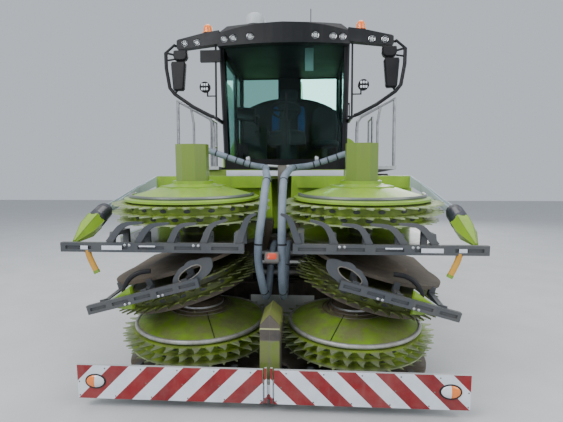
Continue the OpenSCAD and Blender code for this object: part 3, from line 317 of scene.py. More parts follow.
def tube(path: Array, radius: float | Array, sides: int = 12, ring: bool = False) -> Shape:
    """Sweeps a circle along a path: each ring is the path's point plus radius times cos and sin."""
    first, second = path_frames(path, ring)
    angle = np.arange(sides) * 2 * math.pi / sides
    reach = np.broadcast_to(np.asarray(radius, float), (len(path),))[:, None, None]
    across = first[:, None, :] * np.cos(angle)[:, None] + second[:, None, :] * np.sin(angle)[:, None]
    return grid_shape(path[:, None, :] + reach * across, ring=ring)


def band(path: Array, width: float, thickness: float, up: Point = (0.0, 0.0, 1.0)) -> Shape:
    """Sweeps a flat bar along a path, its width along up and its thickness across."""
    along = np.gradient(path, axis=0)
    along = along / np.linalg.norm(along, axis=1)[:, None]
    high = np.array(up, float) - along * (along @ np.array(up, float))[:, None]
    high = high / np.linalg.norm(high, axis=1)[:, None]
    side = np.cross(along, high)
    corner = np.array([[-1, -1], [1, -1], [1, 1], [-1, 1]]) * np.array([thickness, width]) / 2
    points = path[:, None, :] + side[:, None, :] * corner[:, :1] + high[:, None, :] * corner[:, 1:]
    return grid_shape(points)


def stand(origin: Point | Array, up: Point | Array) -> Array:
    """Returns the matrix that stands a shape's z axis along a direction at a point."""
    z = np.array(up, float)
    z = z / np.linalg.norm(z)
    hint = np.array([1.0, 0.0, 0.0]) if abs(z[0]) < 0.9 else np.array([0.0, 1.0, 0.0])
    x = hint - z * (hint @ z)
    x = x / np.linalg.norm(x)
    matrix = np.eye(4)
    matrix[:3, :3] = np.stack([x, np.cross(z, x), z], axis=1)
    matrix[:3, 3] = origin
    return matrix


def stand_at(origin: Point | Array) -> Array:
    """Returns the matrix that moves a shape to a point."""
    matrix = np.eye(4)
    matrix[:3, 3] = origin
    return matrix


def stands(origins: Array, ups: Array | Point) -> Array:
    """Returns the matrices that stand a shape at many points."""
    ups = np.broadcast_to(np.asarray(ups, float), (len(origins), 3))
    return np.array([stand(origin, up) for origin, up in zip(origins, ups)])


def build(name: str, shape: Shape, material: Material, body: str) -> bpy.types.Object:
    """Makes a piece of a shape, closes its seams, turns its faces outwards and sets it on a body.

    Args:
        name: The piece's name.
        shape: Its surface.
        material: Its finish.
        body: The frame's body that carries it.

    Returns:
        The new object.
    """
    mesh = bpy.data.meshes.new(name)
    mesh.vertices.add(len(shape.points))
    mesh.vertices.foreach_set("co", np.ascontiguousarray(shape.points, np.float32).ravel())
    corners = np.concatenate([shape.quads.ravel(), shape.tris.ravel()]).astype(np.int32)
    totals = np.concatenate([np.full(len(shape.quads), 4), np.full(len(shape.tris), 3)]).astype(np.int32)
    mesh.loops.add(len(corners))
    mesh.loops.foreach_set("vertex_index", corners)
    mesh.polygons.add(len(totals))
    mesh.polygons.foreach_set("loop_start", (np.cumsum(totals) - totals).astype(np.int32))
    mesh.polygons.foreach_set("loop_total", totals)
    mesh.update(calc_edges=True)
    layer = mesh.uv_layers.new(name="surface")
    pairs = np.concatenate([shape.quad_uv.reshape(-1, 2), shape.tri_uv.reshape(-1, 2)])
    layer.data.foreach_set("uv", np.ascontiguousarray(pairs, np.float32).ravel())
    work = bmesh.new()
    work.from_mesh(mesh)
    bmesh.ops.remove_doubles(work, verts=work.verts, dist=MERGE_DISTANCE)
    bmesh.ops.dissolve_degenerate(work, edges=work.edges, dist=SHORTEST_EDGE)
    bmesh.ops.recalc_face_normals(work, faces=work.faces)
    work.to_mesh(mesh)
    work.free()
    mesh.shade_smooth()
    mesh.set_sharp_from_angle(angle=SMOOTH_ANGLE)
    mesh.materials.append(material)
    piece = bpy.data.objects.new(name, mesh)
    bpy.context.scene.collection.objects.link(piece)
    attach(piece, body)
    log.info("%s: %d faces on %s", name, len(totals), body)
    return piece


# Shader building


class Tree:
    """Short calls that add and join the nodes of one shader tree."""

    def __init__(self, tree: bpy.types.NodeTree) -> None:
        """Keeps the tree and clears it."""
        self.tree = tree
        tree.nodes.clear()

    def add(self, kind: str, inputs: Inputs | None = None, **settings: object) -> bpy.types.Node:
        """Adds a node.

        Args:
            kind: The node's type without its ShaderNode prefix.
            inputs: Values or sockets for its inputs, by name or number.
            **settings: The node's own settings.

        Returns:
            The node.
        """
        node = self.tree.nodes.new("ShaderNode" + kind)
        for key, value in settings.items():
            setattr(node, key, value)
        return self._fed(node, inputs or {})

    def _fed(self, node: bpy.types.Node, inputs: Inputs) -> bpy.types.Node:
        """Links or sets a node's inputs and returns the node."""
        for key, value in inputs.items():
            if isinstance(value, Socket):
                self.tree.links.new(value, node.inputs[key])
            else:
                node.inputs[key].default_value = value
        return node

    def math(self, operation: str, a: object, b: object = 0.0, clamp: bool = False) -> Socket:
        """Joins two values by an operation and returns the result."""
        return self.add("Math", {0: a, 1: b}, operation=operation, use_clamp=clamp).outputs[0]

    def mix(self, factor: object, a: object, b: object) -> Socket:
        """Blends colour a into colour b by a factor and returns the result."""
        first, second = (c if isinstance(c, Socket) else (*c, 1.0) for c in (a, b))
        return self.add("Mix", {0: factor, 6: first, 7: second}, data_type="RGBA").outputs[2]

    def step(self, value: object, low: float, high: float, to: Flat = (0.0, 1.0)) -> Socket:
        """Maps a value smoothly from the range low to high onto another range."""
        node = self.add(
            "MapRange",
            {"Value": value, "From Min": low, "From Max": high, "To Min": to[0], "To Max": to[1]},
            interpolation_type="SMOOTHSTEP",
        )
        return node.outputs[0]

    def noise(self, vector: object, scale: float, detail: float = 4.0, rough: float = 0.55) -> Socket:
        """Returns a noise value between 0 and 1."""
        return self.add(
            "TexNoise", {"Vector": vector, "Scale": scale, "Detail": detail, "Roughness": rough}
        ).outputs[0]

    def surface(self, inputs: Inputs) -> None:
        """Ends the tree with one surface shader of these inputs and its output."""
        shader = self.add("BsdfPrincipled", inputs)
        self.tree.links.new(shader.outputs[0], self.add("OutputMaterial").inputs[0])

    def group(self, tree: bpy.types.NodeTree, inputs: Inputs) -> bpy.types.Node:
        """Places a node group and sets its inputs."""
        node = self.tree.nodes.new("ShaderNodeGroup")
        node.node_tree = tree
        return self._fed(node, inputs)


def new_group(name: str, inputs: Kinds, outputs: Kinds) -> tuple[Tree, bpy.types.Node, bpy.types.Node]:
    """Starts a shader node group.

    Args:
        name: The group's name.
        inputs: Socket kinds by name, such as Float or Vector.
        outputs: Socket kinds by name.

    Returns:
        The group's tree, its input node and its output node.
    """
    tree = bpy.data.node_groups.new(name, "ShaderNodeTree")
    for words, way in ((inputs, "INPUT"), (outputs, "OUTPUT")):
        for word, kind in words.items():
            tree.interface.new_socket(name=word, in_out=way, socket_type="NodeSocket" + kind)
    work = Tree(tree)
    source = tree.nodes.new("NodeGroupInput")
    target = tree.nodes.new("NodeGroupOutput")
    return work, source, target


def fresh(name: str) -> tuple[Material, Tree]:
    """Starts an empty material and returns it with its tree."""
    material = bpy.data.materials.new(name)
    material.use_nodes = True
    return material, Tree(material.node_tree)


class Effects:
    """Shader node groups that several finishes share."""

    def __init__(self) -> None:
        """Builds each group once."""
        self.weather = self._weather()
        self.dust = self._dust()
        self.axis = self._axis()

    @staticmethod
    def _weather() -> bpy.types.NodeTree:
        """Broad patches, runs of dirt down the sides and a fine grain."""
        work, source, target = new_group(
            "weathering",
            {"Vector": "Vector", "Patch Scale": "Float", "Grain Scale": "Float"},
            {"Patches": "Float", "Streaks": "Float", "Grain": "Float"},
        )
        vector = source.outputs["Vector"]
        patch, grain = (
            work.add("TexNoise", {"Vector": vector, "Scale": source.outputs[word], "Detail": detail})
            for word, detail in (("Patch Scale", 5.0), ("Grain Scale", 3.0))
        )
        drawn = work.add("Mapping", {"Vector": vector, "Scale": (9.0, 9.0, 0.8)})
        runs = work.noise(drawn.outputs[0], 1.6, 4.0, 0.6)
        for name, value in (
            ("Patches", work.step(patch.outputs[0], 0.38, 0.66)),
            ("Streaks", work.step(runs, 0.52, 0.74)),
            ("Grain", grain.outputs[0]),
        ):
            work.tree.links.new(value, target.inputs[name])
        return work.tree

    @staticmethod
    def _dust() -> bpy.types.NodeTree:
        """Dust that lies on what faces up and earth that clings low down."""
        work, source, target = new_group(
            "settled_dust",
            {"Amount": "Float", "Low": "Float", "Reach": "Float"},
            {"Mask": "Float"},
        )
        place = work.add("TexCoord")
        spot = work.add("SeparateXYZ", {0: place.outputs["Object"]})
        facing = work.add("SeparateXYZ", {0: place.outputs["Normal"]})
        fine = work.step(work.noise(place.outputs["Object"], 7.0, 6.0, 0.65), 0.32, 0.72)
        top = work.math("MULTIPLY", work.step(facing.outputs[2], 0.25, 0.95), 0.8)
        span = work.math("SUBTRACT", spot.outputs[2], source.outputs["Low"])
        height = work.math("DIVIDE", span, source.outputs["Reach"])
        low = work.step(height, 0.0, 1.0, (0.9, 0.0))
        total = work.math("ADD", work.math("MAXIMUM", top, low), 0.12)
        mask = work.math("MULTIPLY", work.math("MULTIPLY", total, fine), source.outputs["Amount"], True)
        work.tree.links.new(mask, target.inputs["Mask"])
        return work.tree

    @staticmethod
    def _axis() -> bpy.types.NodeTree:
        """Distance from a line through a point, and the place along it."""
        work, source, target = new_group(
            "distance_from_axis",
            {"Vector": "Vector", "Point": "Vector", "Direction": "Vector"},
            {"Distance": "Float", "Along": "Float"},
        )
        vector, point, way = (source.outputs[word] for word in ("Vector", "Point", "Direction"))
        step = work.add("VectorMath", {0: vector, 1: point}, operation="SUBTRACT").outputs[0]
        along = work.add("VectorMath", {0: step, 1: way}, operation="DOT_PRODUCT").outputs["Value"]
        lift = work.add("VectorMath", {0: way, "Scale": along}, operation="SCALE").outputs[0]
        across = work.add("VectorMath", {0: step, 1: lift}, operation="SUBTRACT").outputs[0]
        length = work.add("VectorMath", {0: across}, operation="LENGTH").outputs["Value"]
        work.tree.links.new(length, target.inputs["Distance"])
        work.tree.links.new(along, target.inputs["Along"])
        return work.tree


EARTH = (0.16, 0.125, 0.085)
PALE_DUST = (0.34, 0.32, 0.27)


@dataclass(frozen=True)
class Finish:
    """A paint, metal, rubber or plastic with patches, runs of dirt, dust and a grain.

    Attributes:
        name: The finish's name.
        slot: The record's material slot that it stands for; not used.
        colour: Its clean colour.
        patch: The colour of its broad patches.
        roughness: Its clean roughness.
        metallic: Whether it is bare metal.
        coat: Weight of a clear coat.
        dust: Amount of dust and earth.
        dust_colour: The dust's colour.
        streaks: Strength of the runs of dirt.
        patch_scale: Patches to a metre.
        grain_scale: Grains to a metre.
        grain_height: Height of the grain in metres.
        low: Height where clinging earth is thickest.
        reach: Height over which it thins out.
        shine: Level of the mirror reflection.
    """

    name: str
    slot: str
    colour: Colour
    patch: Colour
    roughness: float = 0.4
    metallic: float = 0.0
    coat: float = 0.0
    dust: float = 0.3
    dust_colour: Colour = EARTH
    streaks: float = 0.25
    patch_scale: float = 1.7
    grain_scale: float = 160.0
    grain_height: float = 0.0006
    low: float = 0.0
    reach: float = 1.2
    shine: float = 0.5

    def shade(self, effects: Effects, colour: Socket | None = None, work: Tree | None = None,
              material: Material | None = None, metal: object = None) -> Material:
        """Builds the finish's material.

        Args:
            effects: The shared node groups.
            colour: A socket that takes the place of the clean colour.
            work: The tree that holds that socket.
            material: The material whose tree that is.
            metal: A socket or value that takes the place of the metallic value.

        Returns:
            The material.
        """
        if material is None or work is None:
            material, work = fresh(self.name)
        place = work.add("TexCoord").outputs["Object"]
        scales = {"Patch Scale": self.patch_scale, "Grain Scale": self.grain_scale}
        weather = work.group(effects.weather, {"Vector": place, **scales})
        spread = {"Amount": self.dust, "Low": self.low, "Reach": self.reach}
        dust = work.group(effects.dust, spread).outputs[0]
        base = colour if colour is not None else work.mix(weather.outputs["Patches"], self.colour, self.patch)
        runs = work.math("MULTIPLY", weather.outputs["Streaks"], self.streaks)
        worn = work.mix(runs, base, self.dust_colour)
        dirty = work.mix(dust, worn, self.dust_colour)
        gloss = work.math("MULTIPLY_ADD", weather.outputs["Patches"], 0.12)
        gloss.node.inputs[2].default_value = self.roughness
        rough = work.math("MAXIMUM", gloss, work.step(dust, 0.0, 0.7, (0.0, 0.9)))
        relief = {"Height": weather.outputs["Grain"], "Distance": self.grain_height, "Strength": 0.6}
        bump = work.add("Bump", relief)
        work.surface({
            "Base Color": dirty, "Roughness": rough, "Metallic": self.metallic if metal is None else metal,
            "Normal": bump.outputs[0], "Coat Weight": self.coat, "Coat Roughness": 0.12,
            "Specular IOR Level": self.shine,
        })
        return material


GREEN = (0.255, 0.44, 0.022)
GREEN_DEEP = (0.19, 0.35, 0.018)
OLIVE = (0.15, 0.235, 0.022)
SLATE = (0.052, 0.06, 0.07)
STEEL = (0.42, 0.43, 0.44)
PALE = {"dust_colour": PALE_DUST}
LENS = {**PALE, "dust": 0.06, "streaks": 0.0, "grain_height": 0.0001}
CLOTH = {"dust": 0.05, "streaks": 0.0, "grain_scale": 900.0, "grain_height": 0.001}


class Paint(Enum):
    """Every finish of the machine."""

    GREEN = Finish("green_paint", "green_paint", GREEN, GREEN_DEEP, 0.32, coat=0.35, dust=0.28)
    GREEN_DIRTY = Finish("green_dirty", "green_dirty", GREEN_DEEP, OLIVE, 0.42, dust=0.75, streaks=0.4)
    FRAME_GREY = Finish("frame_grey", "frame_grey", (0.10, 0.105, 0.11), (0.07, 0.07, 0.075), 0.45, dust=0.6)
    ENGINE_GREY = Finish("engine_grey", "engine_grey", (0.16, 0.16, 0.16), (0.10, 0.10, 0.10), 0.5, dust=0.5)
    BLACK = Finish(
        "black_plastic", "black_plastic", (0.012, 0.013, 0.015), (0.02, 0.02, 0.022), 0.34, dust=0.04,
        **PALE, streaks=0.02, grain_scale=420.0, shine=0.2,
    )
    BLACK_GLOSS = Finish(
        "black_gloss", "black_plastic", (0.012, 0.013, 0.015), (0.018, 0.018, 0.02), 0.12, coat=0.6,
        dust=0.08, **PALE, streaks=0.02, grain_height=0.0001,
    )
    WORN_STEEL = Finish(
        "worn_steel", "worn_steel", STEEL, (0.27, 0.25, 0.22), 0.38, 1.0, dust=0.35, streaks=0.3,
    )
    GALVANISED = Finish(
        "galvanised", "galvanised", (0.55, 0.57, 0.58), (0.44, 0.46, 0.48), 0.42, 0.85, dust=0.25,
        **PALE, patch_scale=14.0,
    )
    RAIL = Finish(
        "rail_tube", "galvanised", (0.34, 0.35, 0.37), (0.26, 0.27, 0.29), 0.34, 0.9, dust=0.15,
        **PALE, patch_scale=14.0,
    )
    INTERIOR = Finish(
        "interior", "interior", (0.026, 0.027, 0.03), (0.019, 0.02, 0.022), 0.62, dust=0.12,
        **PALE, streaks=0.0, grain_scale=500.0,
    )
    LIGHT_PLASTIC = Finish(
        "light_grey_plastic", "light_grey_plastic", (0.52, 0.55, 0.57), (0.46, 0.49, 0.51), 0.38, dust=0.2,
        **PALE, streaks=0.1,
    )
    DULL_STEEL = Finish(
        "dull_steel", "dull_steel", (0.24, 0.23, 0.215), (0.15, 0.125, 0.10), 0.55, 0.75, dust=0.65,
        streaks=0.4,
    )
    SLATE = Finish("dark_slate", "dark_slate", SLATE, (0.075, 0.08, 0.085), 0.42, dust=0.3, streaks=0.15)
    COLLAR = Finish("collar_slate", "dark_slate", (0.022, 0.026, 0.04), (0.03, 0.035, 0.05), 0.5, dust=0.12)
    POD = Finish("pod_grey", "light_grey_plastic", (0.20, 0.19, 0.175), (0.15, 0.14, 0.13), 0.45, dust=0.3)
    CHROME = Finish(
        "chrome_rod", "chrome_rod", (0.75, 0.76, 0.78), (0.68, 0.69, 0.71), 0.12, 1.0, dust=0.1, streaks=0.05,
    )
    RUBBER = Finish(
        "tyre_rubber", "tyre_rubber", (0.028, 0.028, 0.029), (0.045, 0.043, 0.04), 0.72, dust=0.7,
        streaks=0.2, grain_scale=260.0, grain_height=0.0012, reach=1.9,
    )
    ROTOR_GREEN = Finish(
        "rotor_green", "rotor_steel", (0.24, 0.36, 0.03), (0.14, 0.20, 0.03), 0.4, dust=0.42,
        streaks=0.15, reach=0.5,
    )
    ROTOR_SHADED = Finish(
        "rotor_shaded", "rotor_steel", (0.14, 0.20, 0.02), (0.05, 0.055, 0.03), 0.5, dust=0.5,
        streaks=0.2, reach=0.5,
    )
    # Dull steel darkened near black: painted shade for the intake housing deep in the throat.
    THROAT = Finish("throat_steel", "dull_steel", (0.040, 0.034, 0.027), (0.025, 0.021, 0.017), 0.6, dust=0.3)
    EARTHY_PAN = Finish(
        "earthy_pan", "green_dirty", (0.075, 0.062, 0.047), (0.11, 0.085, 0.06), 0.75, dust=0.5, streaks=0.3,
        grain_height=0.002,
    )
    ROOF_DARK = Finish(
        "roof_dark", "roof_black", (0.014, 0.015, 0.018), (0.024, 0.025, 0.028), 0.42, dust=0.05,
        **PALE, streaks=0.02, shine=0.2,
    )
    RIM_RED = Finish(
        "rim_red", "rim_red", (0.42, 0.028, 0.018), (0.33, 0.024, 0.017), 0.36, coat=0.3, dust=0.5,
    )
    ORANGE_LENS = Finish(
        "orange_lens", "beacon_orange", (0.85, 0.22, 0.02), (0.80, 0.19, 0.02), 0.14, coat=0.5, **LENS,
    )
    CLEAR_LENS = Finish(
        "clear_lens", "lamp_lens", (0.72, 0.75, 0.78), (0.60, 0.64, 0.68), 0.1, coat=0.6, **LENS,
    )
    FLAME_LENS = Finish(
        "flame_lens", "beacon_orange", (0.85, 0.075, 0.02), (0.78, 0.06, 0.018), 0.2, coat=0.4, **LENS,
    )
    RED_LENS = Finish(
        "red_lens", "rim_red", (0.5, 0.01, 0.012), (0.42, 0.01, 0.012), 0.14, coat=0.5, **LENS,
    )
    WHITE_STRIP = Finish(
        "white_strip", "board_white", (0.66, 0.70, 0.76), (0.56, 0.61, 0.68), 0.4, dust=0.15,
        **PALE, streaks=0.1,
    )
    SHEET = Finish(
        "sheet_band", "galvanised", (0.50, 0.59, 0.65), (0.42, 0.50, 0.56), 0.4, dust=0.15, **PALE,
    )
    YELLOW = Finish("feeler_yellow", "green_paint", (0.62, 0.33, 0.035), (0.5, 0.25, 0.03), 0.5, dust=0.35)
    BLUE_CLOTH = Finish(
        "seat_bolster", "interior", (0.025, 0.09, 0.28), (0.02, 0.07, 0.22), 0.8, **CLOTH,
    )
    SEAT_CLOTH = Finish(
        "seat_cloth", "interior", (0.05, 0.052, 0.06), (0.036, 0.038, 0.044), 0.85, **CLOTH,
    )


@dataclass(frozen=True)
class Zone:
    """A region of a node with its own colour, where every named measure is within its range.

    Attributes:
        colour: The region's colour.
        within: Ranges in metres by measure: distance from the axis, place along it, or x, y or z.
            x has no sign.
        metal: Whether it is bare metal.
        blur: Width of its edges in metres.
        ragged: How far a noise moves its edges, in metres.
    """

    colour: Colour
    within: dict[str, Flat]
    metal: float = 0.0
    blur: float = 0.002
    ragged: float = 0.0


@dataclass
class Workshop:
    """Dresses the frame's nodes and builds pieces in the machine's finishes.

    Attributes:
        frame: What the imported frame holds.
        effects: The shared node groups.
        made: Each finish's material, once it is made.
    """

    frame: dict
    effects: Effects
    made: dict[str, Material]

    def paint(self, paint: Paint) -> Material:
        """Returns the material of a finish, made at its first use."""
        if paint.name not in self.made:
            self.made[paint.name] = paint.value.shade(self.effects)
        return self.made[paint.name]

    def dress(self, node: str, material: Material) -> None:
        """Gives a node of the frame a material in all its slots."""
        piece = self.frame["nodes"][node]
        if not piece.material_slots:
            piece.data.materials.append(material)
        for slot in piece.material_slots:
            slot.material = material
        log.info("%s: dressed with %s", node, material.name)

    def joint(self, name: str) -> tuple[Array, Array]:
        """Returns the place and the unit axis of a joint."""
        found = next(j for j in self.frame["joints"] if j["name"] == name)
        axis = np.array(found["axis"], float)
        return np.array(found["pos_m"], float), axis / np.linalg.norm(axis)

    def zoned(self, name: str, paint: Paint, zones: tuple[Zone, ...], joint: str = "") -> Material:
        """Makes a finish with regions of other colours, the same on both sides of the machine.

        Args:
            name: The material's name.
            paint: The finish that the regions lie on.
            zones: The regions, each over the ones before it.
            joint: The joint whose axis the distances are measured from.

        Returns:
            The material.
        """
        material, work = fresh(name)
        place = work.add("TexCoord").outputs["Object"]
        split = work.add("SeparateXYZ", {0: place})
        parts = {0: work.math("ABSOLUTE", split.outputs[0]), 1: split.outputs[1], 2: split.outputs[2]}
        measures = {"x": parts[0], "y": parts[1], "z": parts[2]}
        if joint:
            point, axis = self.joint(joint)
            vector = work.add("CombineXYZ", parts).outputs[0]
            line = {"Vector": vector, "Point": tuple(point), "Direction": tuple(axis)}
            polar = work.group(self.effects.axis, line)
            measures |= {"distance": polar.outputs["Distance"], "along": polar.outputs["Along"]}
        finish = paint.value
        tone = work.mix(work.step(work.noise(place, 4.0, 5.0), 0.35, 0.7), finish.colour, finish.patch)
        metal: object = finish.metallic
        rough = work.math("SUBTRACT", work.noise(place, 11.0, 4.0), 0.5)
        for zone in zones:
            mask: object = 1.0
            for word, (low, high) in zone.within.items():
                value = measures[word]
                if zone.ragged:
                    value = work.math("ADD", value, work.math("MULTIPLY", rough, 2 * zone.ragged))
                rise = work.step(value, low - zone.blur, low + zone.blur)
                fall = work.step(value, high - zone.blur, high + zone.blur, (1.0, 0.0))
                mask = work.math("MULTIPLY", mask, work.math("MULTIPLY", rise, fall))
            tone = work.mix(mask, tone, zone.colour)
            if zone.metal != finish.metallic:
                change = work.math("MULTIPLY", work.math("SUBTRACT", zone.metal, metal), mask)
                metal = work.math("ADD", metal, change)
        return finish.shade(self.effects, tone, work, material, metal)

    def add(self, name: str, shape: Shape, paint: Paint, body: str) -> bpy.types.Object:
        """Builds a piece in one of the machine's finishes."""
        return build(name, shape, self.paint(paint), body)


# Studio


@dataclass
class Studio:
    """Camera, pale floor and soft light.

    Attributes:
        camera_at: The camera's place.
        yaw: Its turn to the left in degrees.
        pitch: Its tilt below the horizon in degrees.
        floor_half: Half the floor's width.
        lamps: Name, place, aim, size and power of each lamp.
    """

    camera_at: Point = (0.31, -7.29, 1.80)
    yaw: float = 3.7
    pitch: float = 3.41
    floor_half: float = 45.0
    lamps: tuple[tuple[str, Point, Point, float, float], ...] = (
        ("key", (-7.0, -11.0, 10.0), (0.0, -2.5, 1.2), 8.0, 1500.0),
        ("fill", (9.0, -9.0, 6.0), (0.0, -2.0, 1.5), 7.0, 600.0),
        ("top", (0.0, 0.0, 13.0), (0.0, 0.0, 0.0), 10.0, 900.0),
        ("back", (3.0, 13.0, 8.0), (0.0, 2.0, 2.0), 8.0, 700.0),
    )

    def set_camera(self) -> None:
        """Places the camera at the photograph's viewing angle."""
        data = bpy.data.cameras.new("camera")
        data.sensor_width = SENSOR_WIDTH
        data.lens = FOCAL_PIXELS / PHOTO_WIDTH * SENSOR_WIDTH
        data.clip_end = 300.0
        camera = bpy.data.objects.new("camera", data)
        camera.location = self.camera_at
        camera.rotation_euler = (math.radians(90 - self.pitch), 0.0, math.radians(self.yaw))
        bpy.context.scene.collection.objects.link(camera)
        bpy.context.scene.camera = camera

    def set_floor(self) -> None:
        """Lays a pale floor under the machine."""
        half = self.floor_half
        corners = [(-half, -half, 0.0), (half, -half, 0.0), (half, half, 0.0), (-half, half, 0.0)]
        mesh = bpy.data.meshes.new("floor")
        mesh.from_pydata(corners, [], [(0, 1, 2, 3)])
        floor = bpy.data.objects.new("floor", mesh)
        bpy.context.scene.collection.objects.link(floor)
        material, work = fresh("floor")
        place = work.add("TexCoord").outputs["Object"]
        patches = work.step(work.noise(place, 1.5, 6.0), 0.3, 0.7)
        tone = work.mix(patches, (0.50, 0.51, 0.52), (0.54, 0.55, 0.56))
        work.surface({"Base Color": tone, "Roughness": 0.75})
        mesh.materials.append(material)

    def set_light(self) -> None:
        """Lights the scene with a pale sky and large soft lamps."""
        world = bpy.data.worlds.new("sky")
        world.use_nodes = True
        bpy.context.scene.world = world
        tree = world.node_tree
        tree.nodes["Background"].inputs[0].default_value = (0.78, 0.84, 0.92, 1.0)
        tree.nodes["Background"].inputs[1].default_value = 0.75
        for name, place, aim, size, power in self.lamps:
            light = bpy.data.lights.new(name, "AREA")
            light.shape = "SQUARE"
            light.size = size
            light.energy = power
            lamp = bpy.data.objects.new(name, light)
            lamp.matrix_world = self._aimed(place, aim)
            bpy.context.scene.collection.objects.link(lamp)

    @staticmethod
    def _aimed(place: Point, aim: Point) -> list[list[float]]:
        """Returns the matrix of a lamp at a place that shines at a point."""
        back = np.array(place, float) - np.array(aim, float)
        return Matrix(stand(place, back).tolist())


# Sub-assemblies


Placer = Callable[[object], Array]


def rows_of(points: object) -> Array:
    """Returns one or more points as rows."""
    return np.atleast_2d(np.array(points, float))


@dataclass(frozen=True)
class Drawing:
    """Turns drawing places, in millimetres from the front axle, into metres in the machine's frame.

    Places on the header are drawn with it unfolded and level. It is then tilted, and its sides fold.

    Attributes:
        disc_v: Place of the rotors along the machine, where the tilt pivots.
        tilt_z: Height of the tilt's pivot.
        tilt: Tilt in degrees.
        fold: Angle of each fold in degrees.
        inner: Place of the inner fold hinge.
        outer: Place of the outer fold hinge.
    """

    disc_v: float = -2170.0
    tilt_z: float = 500.0
    tilt: float = 3.5
    fold: float = 165.0
    inner: Flat = (1530.0, 520.0)
    outer: Flat = (3079.0, 114.0)

    @staticmethod
    def row(points: object) -> Array:
        """Returns places on the harvester itself."""
        return rows_of(points) / 1000.0 + np.array([0.0, FRONT_AXLE_Y, 0.0])

    def at(self, point: object) -> Array:
        """Returns the matrix that moves a shape to a place on the harvester itself."""
        return stand_at(self.row(point)[0])

    def header(self, points: object) -> Array:
        """Returns places on the header's middle: a turn by the tilt about x."""
        p = rows_of(points)
        cos, sin = math.cos(math.radians(self.tilt)), math.sin(math.radians(self.tilt))
        v, z = p[:, 1] - self.disc_v, p[:, 2] - self.tilt_z
        tilted = np.stack([p[:, 0], self.disc_v + v * cos - z * sin, self.tilt_z + v * sin + z * cos], axis=1)
        return self.row(tilted)

    def _folded(self, x: Array, z: Array) -> tuple[Array, Array]:
        """Returns x and z after a turn by the fold angle about the inner hinge."""
        cos, sin = math.cos(math.radians(self.fold)), math.sin(math.radians(self.fold))
        dx, dz = x - self.inner[0], z - self.inner[1]
        return self.inner[0] + dx * cos - dz * sin, self.inner[1] + dx * sin + dz * cos

    def mid(self, points: object, side: Side) -> Array:
        """Returns places on a middle section."""
        p = rows_of(points)
        x, z = self._folded(p[:, 0], p[:, 2])
        return self.header(np.stack([side.value * x, p[:, 1], z], axis=1))

    def end(self, points: object, side: Side) -> Array:
        """Returns places on an outer section, which stays level while its hinge is carried round."""
        p = rows_of(points)
        x, z = self._folded(*(np.array([value]) for value in self.outer))
        x, z = p[:, 0] + x - self.outer[0], p[:, 2] + z - self.outer[1]
        return self.header(np.stack([side.value * x, p[:, 1], z], axis=1))

    def on(self, word: str, side: Side) -> Placer:
        """Returns the function that places points on the centre, mid or outer part of one side."""
        if word == "mid":
            return partial(self.mid, side=side)
        if word == "outer":
            return partial(self.end, side=side)
        return lambda points: self.header(rows_of(points) * np.array([side.value, 1.0, 1.0]))

    @staticmethod
    def stand_on(place: Placer, origin: Point | Array) -> Array:
        """Returns the matrix that carries a shape in metres to a place of the drawing, turned as it turns."""
        base = np.array(origin, float)
        moved = place(np.concatenate([base[None], base + 1000.0 * np.eye(3)]))
        matrix = np.eye(4)
        matrix[:3, :3] = (moved[1:] - moved[0]).T
        matrix[:3, 3] = moved[0]
        return matrix


DRAWN = Drawing()
FORWARD = (0.0, -1.0, 0.0)


def disc(radius: float, height: float, dome: float = 0.0, segments: int = 40) -> Shape:
    """Makes a round plate whose top swells by a cosine dome and whose edge is softened."""
    turn = np.linspace(0, math.pi / 2, 9)
    top = [(radius * float(np.sin(a)), height + dome * float(np.cos(a))) for a in turn]
    return lathe([(POLE, 0.0), (radius, 0.0), *reversed(top[1:]), (POLE, height + dome)], segments)


def ring(radius: float, thickness: float, segments: int = 64, sides: int = 12) -> Shape:
    """Makes a torus about Z."""
    angle = np.arange(segments) * 2 * math.pi / segments
    path = np.stack([radius * np.cos(angle), radius * np.sin(angle), np.zeros(segments)], axis=1)
    return tube(path, thickness / 2, sides, ring=True)


def plate(outline: Array | list[tuple[float, float]], thickness: float) -> Shape:
    """Makes a flat plate: an outline in x and z, carried by its thickness along y."""
    edge = np.array(outline, float)
    rows = np.zeros((2, len(edge), 3))
    rows[:, :, 0] = edge[:, 0]
    rows[:, :, 2] = edge[:, 1]
    rows[0, :, 1] = -thickness / 2
    rows[1, :, 1] = thickness / 2
    return grid_shape(rows)


